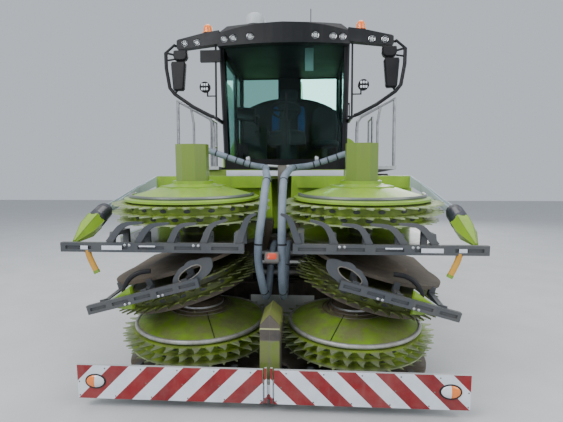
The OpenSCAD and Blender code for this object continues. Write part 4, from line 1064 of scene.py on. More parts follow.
@dataclass
class Hoses:
    """The two hoses that hang in front of the machine.

    Attributes:
        diameter: Outer diameter.
        sway: How far the right hose bows sideways, in metres.
        sway_z: Height of the bow's middle.
        sway_half: Half the bow's height.
        hanging_y: Place of the plane in front of which a hose hangs freely.
        ties: Points of the line that carry a strap.
        rod: Points of the rod that carries a hose outwards, in millimetres from the front axle.
        rod_ties: Straps' places along the rod: their x in metres.
        rod_diameter: Diameter of the rod.
        route: Points of a hose from the tower along its rod and down, in millimetres from the front axle.
    """

    diameter: float = 0.07
    sway: float = 0.045
    sway_z: float = 1.22
    sway_half: float = 0.30
    hanging_y: float = -3.3
    ties: tuple[int, ...] = (4, 9, 13, 17, 21, 44, 62, 84, 102, 128)
    rod: tuple[Point, ...] = ((0, -1325, 2024), (382, -1325, 2048), (930, -1325, 2236))
    rod_ties: tuple[float, ...] = (0.335, 0.365, 0.41, 0.44, 0.47, 0.72)
    rod_diameter: float = 0.033
    route: tuple[Point, ...] = (
        (860, -1377, 2212), (740, -1377, 2171), (604, -1377, 2124), (480, -1377, 2082), (382, -1379, 2050),
        (297, -1395, 2030), (228, -1450, 2018), (186, -1550, 2008), (162, -1680, 1999), (140, -1830, 1988),
        (122, -1990, 1970), (106, -2150, 1935),
        (80, -2310, 1880), (80, -2450, 1790), (80, -2560, 1680), (80, -2630, 1550), (80, -2660, 1410),
        (80, -2665, 1270), (80, -2650, 1130), (80, -2610, 1000), (80, -2540, 885), (80, -2440, 800),
        (80, -2320, 757), (80, -2200, 768), (80, -2090, 830), (80, -1990, 915), (80, -1890, 1000),
        (80, -1780, 1070), (80, -1660, 1115), (80, -1540, 1135), (80, -1420, 1140),
    )

    def line(self, side: Side) -> Array:
        """Returns a hose's middle line in metres, a smooth curve through its points."""
        points = DRAWN.row(self.route)
        if side is Side.RIGHT:
            bow = np.exp(-(((points[:, 2] - self.sway_z) / self.sway_half) ** 2))
            points[:, 0] += self.sway * bow * (points[:, 1] < self.hanging_y)
        return smooth_path(points, 5) * np.array([side.value, 1.0, 1.0])

    def build(self, shop: Workshop) -> None:
        material = self._sleeve()
        for side in Side:
            line = self.line(side)
            shape = tube(line, self.diameter / 2, 20)
            hose = build(f"hanging_hose_{side.word}", shape, material, "header")
            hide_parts(f"hose_{side.word}")
            spots = np.array(self.ties)
            straps = self._tie(self.diameter).repeated(stands(line[spots], line[spots + 1] - line[spots - 1]))
            ties = shop.add(f"hose_ties_{side.word}", straps, Paint.BLACK, "header")
        self._rod_ties(shop)

    @staticmethod
    def _tie(diameter: float) -> Shape:
        """Makes a strap round a tube with a small lock on it."""
        r = diameter / 2
        strap = lathe([(r, -0.007), (r + 0.002, -0.006), (r + 0.002, 0.006), (r, 0.007)], 28)
        return joined([strap, block((0.012, 0.014, 0.016), 0.002).moved(stand_at((r + 0.003, 0.0, 0.0)))])

    def _rod_ties(self, shop: Workshop) -> None:
        """Straps along the rods that carry the hoses outwards."""
        rod = DRAWN.row(self.rod)
        places, ways = [], []
        for x in self.rod_ties:
            leg = 0 if x < rod[1, 0] else 1
            way = rod[leg + 1] - rod[leg]
            places.append(rod[leg] + way * (x - rod[leg, 0]) / way[0])
            ways.append(way)
        straps = self._tie(self.rod_diameter).repeated(stands(np.array(places), np.array(ways)))
        shop.add("rod_ties", straps.mirrored(), Paint.BLACK, "header")

    @staticmethod
    def _sleeve() -> Material:
        """Woven sleeve: two crossing sets of fine ribs that follow the hose's own UV map."""
        material, work = fresh("hose_grey")
        uv = work.add("UVMap").outputs[0]
        split = work.add("SeparateXYZ", {0: uv})
        run = work.math("MULTIPLY", split.outputs[0], 420.0)
        turn = work.math("MULTIPLY", split.outputs[1], 12.0)
        ribs = []
        for way in ("ADD", "SUBTRACT"):
            phase = work.math("MULTIPLY", work.math(way, run, turn), math.pi)
            ribs.append(work.math("ABSOLUTE", work.math("SINE", phase)))
        weave = work.math("MAXIMUM", *ribs)
        place = work.add("TexCoord").outputs["Object"]
        stain = work.step(work.noise(place, 5.0, 5.0), 0.35, 0.7)
        tone = work.mix(stain, (0.21, 0.26, 0.33), (0.14, 0.175, 0.22))
        tone = work.mix(work.step(weave, 0.2, 0.9), (0.07, 0.09, 0.12), tone)
        bump = work.add("Bump", {"Height": weave, "Distance": 0.0015, "Strength": 0.7})
        work.surface({"Base Color": tone, "Roughness": 0.55, "Normal": bump.outputs[0]})
        return material


@dataclass
class Boards:
    """Red and white warning boards with their lamps and rivets.

    Attributes:
        period: Width of one red and one white stripe along x.
        outer_x: Outer end of a board.
        low_z: Height of its lower edge.
        lamp_at: Middle of its lamp in x and z, in millimetres on the header.
        front_v: Place of its face along the machine.
        heights: Heights of the rows of rivets.
        rivets: Places of a row's rivets in x.
        row_shift: Shift of each row against the one below.
        lamp_half: Half width and half height of the lamp's rim.
        lens_half: Half width, half height and depth of its lens.
    """

    period: float = 0.295
    outer_x: float = 1.55
    low_z: float = 0.08
    lamp_at: Flat = (1400.0, 284.0)
    front_v: float = -3056.7
    heights: tuple[float, ...] = (160.0, 276.0, 392.0)
    rivets: tuple[float, ...] = (60.0, 352.0, 648.0, 944.0, 1240.0, 1535.0)
    row_shift: float = 40.0
    lamp_half: Flat = (0.078, 0.054)
    lens_half: Point = (0.076, 0.052, 0.024)

    def build(self, shop: Workshop) -> None:
        """Paints the boards and fits their lamps and rivets."""
        shop.dress("warning_boards", self._stripes(shop))
        first, last = self.rivets[0], self.rivets[-1]
        spots = []
        for number, z in enumerate(self.heights):
            for x in self.rivets[: len(self.rivets) - number // 2]:
                spots.append((min(max(x + self.row_shift * number, first), last), self.front_v, z))
        rivets = disc(0.006, 0.001, 0.003, 14).repeated(stands(DRAWN.header(spots), FORWARD)).mirrored()
        shop.add("board_rivets", rivets, Paint.DULL_STEEL, "header")
        for side in Side:
            self._lamp(shop, side)

    def _lamp(self, shop: Workshop, side: Side) -> None:
        """Fits a board's oval lamp: a black rim, an orange outer half and a clear inner half."""
        place = DRAWN.header((side.value * self.lamp_at[0], self.front_v, self.lamp_at[1]))[0]
        turn = np.linspace(0, 2 * math.pi, 48, endpoint=False)
        wide, high = self.lamp_half
        oval = np.stack([wide * np.cos(turn), np.zeros_like(turn), high * np.sin(turn)], axis=1)
        rim = tube(oval + place, 0.008, 12, ring=True)
        shop.add(f"board_lamp_rim_{side.word}", rim, Paint.BLACK, "header")
        wide, high, deep = self.lens_half
        lift = np.linspace(0.0, math.pi / 2, 10)[:, None]
        for word, start, paint in (("turn", -1, Paint.ORANGE_LENS), ("clear", 1, Paint.CLEAR_LENS)):
            around = np.linspace(-math.pi / 2, math.pi / 2, 25)[None, :]
            x = -start * side.value * wide * np.cos(lift) * np.cos(around)
            z = high * np.cos(lift) * np.sin(around)
            y = -deep * np.sin(lift) * np.ones_like(around)
            shell = np.stack([x, y, z], axis=2)
            back = shell.copy()
            back[..., 1] = 0.0
            shape = grid_shape(np.concatenate([back[:1], shell]))
            shop.add(f"board_lamp_{word}_{side.word}", shape.moved(stand_at(place)), paint, "header")

    def _stripes(self, shop: Workshop) -> Material:
        """Stripes at 45 degrees that fall outwards on each side: bands of |x| + z."""
        material, work = fresh("board_white")
        place = work.add("TexCoord").outputs["Object"]
        split = work.add("SeparateXYZ", {0: place})
        across = work.math("ADD", work.math("ABSOLUTE", split.outputs[0]), split.outputs[2])
        start = work.math("SUBTRACT", self.outer_x + self.low_z + 4 * self.period, across)
        phase = work.math("FRACT", work.math("DIVIDE", start, self.period))
        red = work.math("LESS_THAN", phase, 0.5)
        patch = work.step(work.noise(place, 6.0, 5.0), 0.35, 0.7)
        red_tone = work.mix(patch, (0.26, 0.003, 0.008), (0.20, 0.004, 0.009))
        white_tone = work.mix(patch, (0.72, 0.78, 0.84), (0.62, 0.69, 0.76))
        facing = work.add("SeparateXYZ", {0: work.add("TexCoord").outputs["Normal"]})
        front = work.math("LESS_THAN", facing.outputs[1], -0.5)
        tone = work.mix(front, (0.45, 0.46, 0.47), work.mix(red, white_tone, red_tone))
        grey = (0.7, 0.7, 0.7)
        look = {**PALE, "dust": 0.12, "streaks": 0.08, "grain_height": 0.0002}
        return Finish("board_white", "board_white", grey, grey, 0.38, **look).shade(
            shop.effects, tone, work, material
        )


EVERYWHERE = 9.0
DRUM_OLIVE = (0.10, 0.13, 0.03)
HUB_DUST = (0.10, 0.085, 0.05)
CAST_BROWN = (0.07, 0.055, 0.04)
RIM_STEEL = (0.46, 0.48, 0.46)
TOWER_SHADE = (0.030, 0.034, 0.018)
TOWER_TOP = (0.17, 0.26, 0.035)
PALE_TUBE = (0.17, 0.19, 0.175)
# Painted shade for the recess of the intake throat.
THROAT_PAINTED_SHADE = (0.026, 0.021, 0.016)
NOSE_SIDE = (0.19, 0.23, 0.045)
NOSE_FOOT = (0.12, 0.18, 0.02)
NOSE_BAND = (0.045, 0.042, 0.04)
# Painted highlight along the crest of the nose's band.
NOSE_HIGHLIGHT = (0.40, 0.44, 0.20)
NOSE_TOP = (0.075, 0.065, 0.055)
ROD_STEEL = (0.52, 0.55, 0.58)


@dataclass
class Header:
    """Finishes of the header: rotors, covers, folding sections and bars.

    Attributes:
        reaches: Reach of the rotors' teeth and the colour of their tips, by their place.
        bright: Length of the worn tips.
        teeth: Length of the teeth, outside the darker drum.
    """

    reaches: tuple[tuple[str, float, Colour], ...] = (
        ("centre", 0.745, (0.36, 0.43, 0.24)),
        # The mid row's dark tip colour is painted shade: these rotors fold under the outer sections.
        ("mid", 0.690, (0.12, 0.15, 0.05)),
        ("outer", 0.740, (0.45, 0.54, 0.30)),
    )
    bright: float = 0.085
    teeth: float = 0.18

    def build(self, shop: Workshop) -> None:
        """Paints the header's nodes by their distance from the rotors' axes."""
        self._rotors(shop)
        self._sections(shop)
        self._frame(shop)

    def _rotors(self, shop: Workshop) -> None:
        """Olive drums and lime teeth with worn, half bare tips; the folded mid rotors take darker colours as
        painted shade.
        """
        for place, reach, tip in self.reaches:
            zones = (
                Zone(DRUM_OLIVE, {"distance": (0.0, reach - self.teeth)}, blur=0.01),
                Zone(tip, {"distance": (reach - self.bright, EVERYWHERE)}, metal=0.6, blur=0.02, ragged=0.02),
            )
            paint = Paint.ROTOR_SHADED if place == "mid" else Paint.ROTOR_GREEN
            material = shop.zoned(f"{place}_rotor_finish", paint, zones, f"{place}_rotor_left_spin")
            for side in Side:
                shop.dress(f"{place}_rotor_{side.word}", material)

    @staticmethod
    def _sections(shop: Workshop) -> None:
        """Lower covers with dust round their hubs, upper covers with towers, and the parts folded under."""
        zones = (
            Zone(HUB_DUST, {"distance": (0.0, 0.31)}, blur=0.06, ragged=0.1),
            Zone(CAST_BROWN, {"distance": (0.0, 0.214)}),
            Zone(RIM_STEEL, {"distance": (0.598, EVERYWHERE)}, metal=0.5, blur=0.003, ragged=0.004),
        )
        material = shop.zoned("lower_cover", Paint.GREEN_DIRTY, zones, "centre_rotor_left_spin")
        shop.dress("centre_covers", material)
        back = float(DRAWN.row((0, -1480, 0))[0, 1])
        ends = DRAWN.end([(4533, -2402, 372), (4533, -2549, 318)], Side.LEFT)
        collar, tip = (float(y) for y in ends[:, 1])
        zones = (
            Zone(TOWER_SHADE, {"x": (0.0, 1.40), "z": (1.0, 1.44)}, blur=0.02, ragged=0.02),
            Zone(TOWER_TOP, {"distance": (0.0, 0.16)}, blur=0.004),
            Zone(PALE_TUBE, {"distance": (0.560, 0.5935)}, metal=0.6),
            Zone(Paint.SHEET.value.colour, {"x": (1.418, EVERYWHERE), "y": (collar, back)}),
            Zone(Paint.COLLAR.value.colour, {"x": (1.48, EVERYWHERE), "y": (tip, collar)}),
        )
        material = shop.zoned("upper_cover", Paint.GREEN, zones, "outer_rotor_left_spin")
        for side in Side:
            shop.dress(f"outer_section_{side.word}", material)
            shop.dress(f"mid_section_{side.word}", shop.paint(Paint.EARTHY_PAN))

    @staticmethod
    def _frame(shop: Workshop) -> None:
        """Frame with its banded nose and its throat darkened as painted shade, bars with yellow feelers, and
        the hoses' rods.
        """
        front = float(DRAWN.row((0, -2280, 0))[0, 1])
        face = float(DRAWN.header((0, -2905, 812))[0, 1])
        wall = float(DRAWN.row((0, -1600, 0))[0, 1])
        throat = {"x": (0.0, 0.75), "y": (wall, EVERYWHERE), "z": (0.2, 0.75)}
        flank = {"x": (0.0, 0.12), "y": (face, front), "z": (0.62, EVERYWHERE)}
        nose = {"x": (0.0, 0.12), "y": (-EVERYWHERE, face)}
        zones = (
            # The throat's near black is painted shade in the recess behind the front wall.
            Zone(THROAT_PAINTED_SHADE, throat, blur=0.03, ragged=0.03),
            Zone(NOSE_SIDE, flank, blur=0.004),
            Zone(NOSE_FOOT, {**nose, "z": (0.0, 0.556)}, blur=0.02, ragged=0.03),
            Zone(NOSE_BAND, {**nose, "z": (0.556, 0.645)}, blur=0.004),
            # A thin pale line on the band's top edge: a painted highlight.
            Zone(NOSE_HIGHLIGHT, {**nose, "z": (0.645, 0.657)}, blur=0.002),
            Zone(NOSE_TOP, {**nose, "z": (0.657, EVERYWHERE)}, blur=0.004),
        )
        shop.dress("header_frame", shop.zoned("header_steel", Paint.DULL_STEEL, zones))
        feeler = {"x": (1.385, EVERYWHERE), "z": (0.0, 1.2775)}
        zones = (Zone(Paint.YELLOW.value.colour, feeler, blur=0.001),)
        material = shop.zoned("bar_slate", Paint.SLATE, zones)
        for side in Side:
            shop.dress(f"outer_guard_{side.word}", material)
        zones = (Zone(ROD_STEEL, {"x": (0.052, EVERYWHERE), "z": (1.9, EVERYWHERE)}, metal=0.7),)
        shop.dress("hose_carrier", shop.zoned("carrier_steel", Paint.DULL_STEEL, zones))


@dataclass
class Glazing:
    """Window glass and lamp lenses."""

    def build(self, shop: Workshop) -> None:
        """Glazes the cab, its door and the lamps."""
        glass = self._glass("tinted_glass", (0.52, 0.78, 0.73), roughness=0.01, ior=1.22)
        shop.dress("cab_glass", glass)
        shop.dress("door_glass", glass)
        shop.dress("lamps", self._glass("lamp_lens", (0.92, 0.94, 0.95), roughness=0.06, ior=1.45))

    @staticmethod
    def _glass(name: str, colour: Colour, roughness: float, ior: float) -> Material:
        """Clear glass of one tint, with faint smears in its roughness."""
        material, work = fresh(name)
        place = work.add("TexCoord").outputs["Object"]
        smear = work.step(work.noise(place, 3.0, 5.0), 0.4, 0.8, (roughness, roughness + 0.05))
        tint = (*colour, 1.0)
        work.surface({"Base Color": tint, "Roughness": smear, "Transmission Weight": 1.0, "IOR": ior})
        return material


@dataclass
class RoofTrim:
    """Lenses, beacons, work lamps, mirrors and receiver of the roof.

    Attributes:
        lamps: Middle of each round lamp's face, in millimetres from the front axle.
        stalk: Middle of the face of the lamp below the roof's corner.
        arm: Points of the mirrors' arm.
        mirrors: Outline of each mirror in x and z.
        mirror_v: Place of the mirrors' faces along the machine.
        pane: Size of a mirror's pane as a share of its outline.
        receiver: Middle of the receiver's foot.
    """

    lamps: tuple[Point, ...] = (
        (380, -1265.5, 3540), (587, -1223.5, 3540), (700, -1192.5, 3540), (1043, -1137, 3527),
        (1199, -1114.8, 3527),
    )
    stalk: Point = (955, -1142.5, 3000)
    arm: tuple[Point, ...] = (
        (850, -1100, 2643), (900, -1100, 2660), (1110, -1100, 2770), (1335, -1100, 2925), (1395, -1100, 3000),
        (1436, -1100, 3240), (1440, -1100, 3424),
    )
    mirrors: tuple[tuple[Flat, ...], ...] = (
        (
            (1200, 3312), (1190, 3285), (1214, 2990), (1232, 2965), (1336, 2965), (1350, 2990), (1373, 3285),
            (1362, 3312),
        ),
        (
            (1170, 3446), (1165, 3370), (1185, 3330), (1215, 3318), (1295, 3318), (1325, 3332), (1342, 3375),
            (1338, 3440), (1320, 3446),
        ),
    )
    mirror_v: float = -1071.0
    pane: float = 0.86
    receiver: Point = (-350, -1000, 3748)

    def build(self, shop: Workshop) -> None:
        """Fits the roof's lamps, mirrors and receiver and dresses its nodes."""
        self._lamps(shop)
        self._mirrors(shop)
        shop.dress("beacons", self._orange())
        black = Paint.BLACK.value.colour
        zones = (Zone(black, {"y": (-EVERYWHERE, -2.245)}),)
        shop.dress("cab_roof", shop.zoned("roof_black", Paint.ROOF_DARK, zones))
        profile = [(POLE, 0.152), (0.06, 0.150), (0.10, 0.128), (0.122, 0.07), (0.125, 0.0), (POLE, -0.004)]
        dome = lathe(profile, 40).moved(DRAWN.at(self.receiver))
        shop.add("receiver_dome", dome, Paint.LIGHT_PLASTIC, "chassis")
        zones = (Zone(black, {"x": (0.25, EVERYWHERE)}),)
        shop.dress("roof_receiver", shop.zoned("receiver_plastic", Paint.LIGHT_PLASTIC, zones))

    def _lamps(self, shop: Workshop) -> None:
        """Bezels and light chips of the round lamps, and the cells of the lamps below the corners."""
        frames = stands(DRAWN.row(self.lamps), FORWARD)
        bezel = ring(0.037, 0.005, 40, 8)
        shop.add("lamp_bezels", bezel.repeated(frames).mirrored(), Paint.CHROME, "chassis")
        spots = [(0.018 * math.cos(a), 0.018 * math.sin(a), 0.0) for a in np.arange(6) * math.pi / 3]
        spots.append((0.0, 0.0, 0.0))
        chips = joined([disc(0.0075, 0.002, 0.002, 16).moved(stand_at(spot)) for spot in spots])
        shop.add("lamp_chips", chips.repeated(frames).mirrored(), Paint.CLEAR_LENS, "chassis")
        lamp = DRAWN.row(self.stalk)[0]
        spots = [lamp + np.array([x, 0.0, z]) for z in (-0.026, 0.026) for x in (-0.03, 0.0, 0.03)]
        cells = block((0.022, 0.006, 0.03), 0.0025).repeated(np.array([stand_at(spot) for spot in spots]))
        shop.add("stalk_lamp_cells", cells.mirrored(), Paint.CLEAR_LENS, "chassis")
        bar = block((0.1, 0.008, 0.008), 0.002).moved(stand_at(lamp))
        shop.add("stalk_lamp_bars", bar.mirrored(), Paint.BLACK, "chassis")

    def _mirrors(self, shop: Workshop) -> None:
        """Panes of the mirrors and the sleeve of their arm."""
        panes = []
        for outline in self.mirrors:
            edge = np.array(outline) / 1000
            edge = edge.mean(0) + self.pane * (edge - edge.mean(0))
            panes.append(plate(edge, 0.004).moved(DRAWN.at((0, self.mirror_v, 0))))
        shop.add("mirror_panes", joined(panes).mirrored(), Paint.CHROME, "chassis")
        arms = smooth_path(DRAWN.row(self.arm), 1)
        shop.add("mirror_arm_sleeves", tube(arms, 0.022, 16).mirrored(), Paint.BLACK, "chassis")

    @staticmethod
    def _orange() -> Material:
        """Orange translucent plastic that seems a little lit from within."""
        material, work = fresh("beacon_orange")
        place = work.add("TexCoord").outputs["Object"]
        glow = work.step(work.noise(place, 9.0, 3.0), 0.3, 0.8)
        tone = work.mix(glow, (0.85, 0.17, 0.015), (0.95, 0.36, 0.05))
        work.surface({
            "Base Color": tone, "Roughness": 0.16, "Coat Weight": 0.4, "Emission Color": tone,
            "Emission Strength": 0.18, "Subsurface Weight": 0.25,
        })
        return material


@dataclass
class CabTrim:
    """Seat pads, monitor, rear lining, wiper and the pale strip under the windscreen."""

    def build(self, shop: Workshop) -> None:
        """Fits the cab's trim."""
        self._seats(shop)
        self._screens(shop)
        self._outside(shop)

    @staticmethod
    def _seats(shop: Workshop) -> None:
        """Pads over the driver's seat, its blue bolsters and the second seat."""
        lean = math.radians(-12)
        turn = np.eye(4)
        turn[1:3, 1:3] = [[math.cos(lean), -math.sin(lean)], [math.sin(lean), math.cos(lean)]]

        def pad(size: Point, at: Point, leaning: bool = False) -> Shape:
            """Makes a pad at a place of the cab, upright or leaning back."""
            shape = cushion(size, 4.0, 0.1, 30)
            return (shape.moved(turn) if leaning else shape).moved(DRAWN.at(at))

        cloth = [
            pad((0.50, 0.50, 0.10), (0, -70, 2545)),
            pad((0.30, 0.10, 0.52), (0, 255, 2800), True),
            pad((0.27, 0.11, 0.19), (0, 345, 3190), True),
            pad((0.36, 0.12, 0.14), (0, 300, 3000), True),
            pad((0.40, 0.42, 0.10), (545, 60, 2420)),
            pad((0.40, 0.12, 0.56), (545, 250, 2700), True),
        ]
        for number, shape in enumerate(cloth):
            shop.add(f"seat_pad_{number}", shape, Paint.SEAT_CLOTH, "chassis")
        for word, x in (("right", -195), ("left", 195)):
            shape = pad((0.11, 0.13, 0.44), (x, 245, 2780), True)
            shop.add(f"seat_bolster_{word}", shape, Paint.BLUE_CLOTH, "chassis")
        stem = block((0.1, 0.1, 0.34), 0.01).moved(DRAWN.at((545, 60, 2215)))
        shop.add("second_seat_base", stem, Paint.INTERIOR, "chassis")

    @staticmethod
    def _screens(shop: Workshop) -> None:
        """Tilted monitor on its arm, drive lever, lining round the rear windows and sun blind."""
        tilt = stand((0, 0, 0), (0.25, -1.0, 0.35))
        tilt[:3, 3] = DRAWN.row((-560, -470, 2780))[0]
        shop.add("monitor_case", block((0.27, 0.20, 0.03), 0.01).moved(tilt), Paint.BLACK, "chassis")
        glass = tilt.copy()
        glass[:3, 3] += tilt[:3, 2] * 0.0155
        pane = block((0.23, 0.155, 0.004), 0.0015).moved(glass)
        shop.add("monitor_glass", pane, Paint.BLACK_GLOSS, "chassis")
        arm = [(-400, -330, 2600), (-430, -400, 2680), (-520, -450, 2740), (-552, -462, 2772)]
        shop.add("monitor_arm", tube(smooth_path(DRAWN.row(arm), 6), 0.014, 12), Paint.INTERIOR, "chassis")
        grip = smooth_path(DRAWN.row([(-390, -520, 2600), (-392, -540, 2690), (-380, -565, 2740)]), 6)
        shop.add("drive_lever", tube(grip, np.linspace(0.016, 0.03, len(grip)), 16), Paint.BLACK, "chassis")
        top = [(x, 3.19 - 0.20 * abs(x / 0.74) ** 2.4) for x in np.linspace(-0.74, 0.74, 31)]
        shape = plate([(-0.74, 2.5), *top, (0.74, 2.5)], 0.012)
        shop.add("rear_lining", shape.moved(stand_at((0.0, -0.512, 0.0))), Paint.INTERIOR, "chassis")
        blind = block((0.105, 0.02, 0.28), 0.006).moved(DRAWN.at((310, -900, 3371)))
        shop.add("sun_blind_end", blind, Paint.LIGHT_PLASTIC, "chassis")

    @staticmethod
    def _outside(shop: Workshop) -> None:
        """Pale strip at the windscreen's foot, and the wiper along the leaning glass."""
        sill = block((1.50, 0.008, 0.072), 0.003).moved(DRAWN.at((0, -863, 1964)))
        shop.add("sill_strip", sill, Paint.WHITE_STRIP, "chassis")
        foot_y, foot_z, slope, gap = FRONT_AXLE_Y - 0.878, 2.01, 0.1935, 0.008
        height = np.linspace(2.29, 2.93, 20)
        blade = np.stack([np.full(20, 0.03), foot_y - (height - foot_z) * slope - gap, height], axis=1)
        shop.add("wiper_blade", band(blade, 0.01, 0.014, FORWARD), Paint.BLACK, "chassis")
        arm = blade[:12] - np.array([0.0, 0.02, 0.0])
        arm[:, 0] -= np.linspace(0.05, 0.0, 12)
        arm = np.concatenate([[arm[0] + np.array([0.0, 0.02, -0.06])], arm])
        shop.add("wiper_arm", tube(arm, 0.006, 10), Paint.BLACK, "chassis")


@dataclass
class HeaderTrim:
    """Reflectors and bolts of the bars, seams, rings and bands of the covers, drum ovals and the pod."""

    def build(self, shop: Workshop) -> None:
        """Fits the header's trim."""
        self._bars(shop)
        self._covers(shop)
        self._drums(shop)
        self._pod(shop)

    @staticmethod
    def _bars(shop: Workshop) -> None:
        """White reflectors and pairs of bright bolts on the folding bars."""
        for side in Side:
            outer = f"outer_section_{side.word}"
            lift = DRAWN.end([(4180, -2991.5, 166), (4405, -2991.5, 166), (3895, -2991.5, 180)], side)
            sizes = ((0.165, 0.003, 0.034), (0.06, 0.003, 0.03), (0.13, 0.003, 0.011))
            pads = [block(size, 0.0012).moved(stand_at(at)) for size, at in zip(sizes, lift)]
            shop.add(f"bar_reflectors_{side.word}", joined(pads), Paint.WHITE_STRIP, outer)
            bolt = disc(0.011, 0.003, 0.006, 18)
            spots = DRAWN.end([(x, -2990.0, 188) for x in (4073, 4036, 3524, 3486)], side)
            bolts = bolt.repeated(stands(spots, FORWARD))
            shop.add(f"bar_bolts_{side.word}", bolts, Paint.GALVANISED, outer)
            spots = DRAWN.mid([(x, -2990.0, 248) for x in (2314, 2278, 2030, 1992)], side)
            bolts = bolt.repeated(stands(spots, FORWARD))
            shop.add(f"mid_bar_bolts_{side.word}", bolts, Paint.GALVANISED, f"mid_section_{side.word}")

    @staticmethod
    def _covers(shop: Workshop) -> None:
        """A seam, two raised rings and a bright band on each lower cover."""
        cone_r, cone_z, slope, lift = 0.215, 0.650, 0.144 / 0.405, 0.001
        up = DRAWN.header((0, 0, 1000))[0] - DRAWN.header((0, 0, 0))[0]
        for side in Side:
            place = stand(DRAWN.header((side.value * 750, DRAWN.disc_v, 0))[0], up)
            direction = np.array([-side.value * 0.42, -0.91])
            r = np.linspace(0.262, 0.592, 14)
            z = cone_z - (r - cone_r) * slope + lift
            line = np.stack([direction[0] * r, direction[1] * r, z], axis=1)
            place[:3, 0] = (1, 0, 0)
            place[:3, 1] = np.cross(up, (1, 0, 0))
            seam = band(line, 0.004, 0.007).moved(place)
            shop.add(f"cover_seam_{side.word}", seam, Paint.BLACK, "header")
            sizes = ((0.255, 0.012, 0.637), (0.30, 0.008, 0.6205))
            rings = [ring(r, thick, 96).moved(stand_at((0, 0, z))) for r, thick, z in sizes]
            shop.add(f"cover_rings_{side.word}", joined(rings).moved(place), Paint.DULL_STEEL, "header")
            hub = lathe([(0.2155, 0.652), (0.2185, 0.653), (0.2185, 0.669), (0.2155, 0.670)], 96).moved(place)
            shop.add(f"hub_band_{side.word}", hub, Paint.GALVANISED, "header")

    @staticmethod
    def _drums(shop: Workshop) -> None:
        """Dark ovals round each drum in two staggered rows."""
        count = 18
        round_plate = disc(1.0, 0.002, 0.004, 18)
        oval = replace(round_plate, points=round_plate.points * np.array([0.016, 0.030, 1.0]))
        drums = (("centre", 750, 0.590, 0), ("mid", 2260, 0.535, 60), ("outer", 3740, 0.585, 0))
        for word, x, radius, drop in drums:
            shapes = []
            for height, shift in ((0.425, 0.0), (0.352, 0.5)):
                angle = (np.arange(count) + shift) * 2 * math.pi / count
                out = np.stack([np.cos(angle), np.sin(angle), np.zeros(count)], axis=1)
                frames = np.tile(np.eye(4), (count, 1, 1))
                frames[:, :3, 2] = out
                frames[:, :3, 0] = (0, 0, 1)
                frames[:, :3, 1] = np.cross(out, (0, 0, 1))
                frames[:, :3, 3] = out * (radius - 0.0005) + np.array([0.0, 0.0, height])
                shapes.append(oval.repeated(frames))
            for side in Side:
                carry = DRAWN.on(word, side)
                shape = joined(shapes).moved(DRAWN.stand_on(carry, (x, DRAWN.disc_v, -drop)))
                shop.add(f"drum_ovals_{word}_{side.word}", shape, Paint.SLATE, f"{word}_rotor_{side.word}")

    @staticmethod
    def _pod(shop: Workshop) -> None:
        """Grey lamp pod with an orange top, on a strap between the hoses."""
        place = stand(DRAWN.row((0, -2700, 1190))[0], (0, -0.8, 0.6))
        shop.add("pod_case", block((0.13, 0.10, 0.05), 0.02, 6).moved(place), Paint.POD, "header")
        top = place.copy()
        top[:3, 3] += place[:3, 2] * 0.022
        shop.add("pod_lens", cushion((0.085, 0.06, 0.02), 4.0).moved(top), Paint.FLAME_LENS, "header")
        line = smooth_path(DRAWN.row([(-80, -2690, 1182), (0, -2672, 1180), (80, -2690, 1182)]), 8)
        shop.add("pod_strap", band(line, 0.03, 0.004), Paint.BLACK, "header")


def strip(path: Array, widths: list[float], thickness: float) -> Shape:
    """Makes a flat strip along a path in x and z, with its own width at each point and thickness along y."""
    way = np.gradient(path, axis=0)[:, [0, 2]]
    way = way / np.linalg.norm(way, axis=1)[:, None]
    out = np.stack([-way[:, 1], np.zeros(len(path)), way[:, 0]], axis=1) * np.array(widths)[:, None] / 2
    deep = np.array([0.0, thickness / 2, 0.0])
    corners = [path + out - deep, path + out + deep, path - out + deep, path - out - deep]
    return grid_shape(np.stack(corners, axis=1))


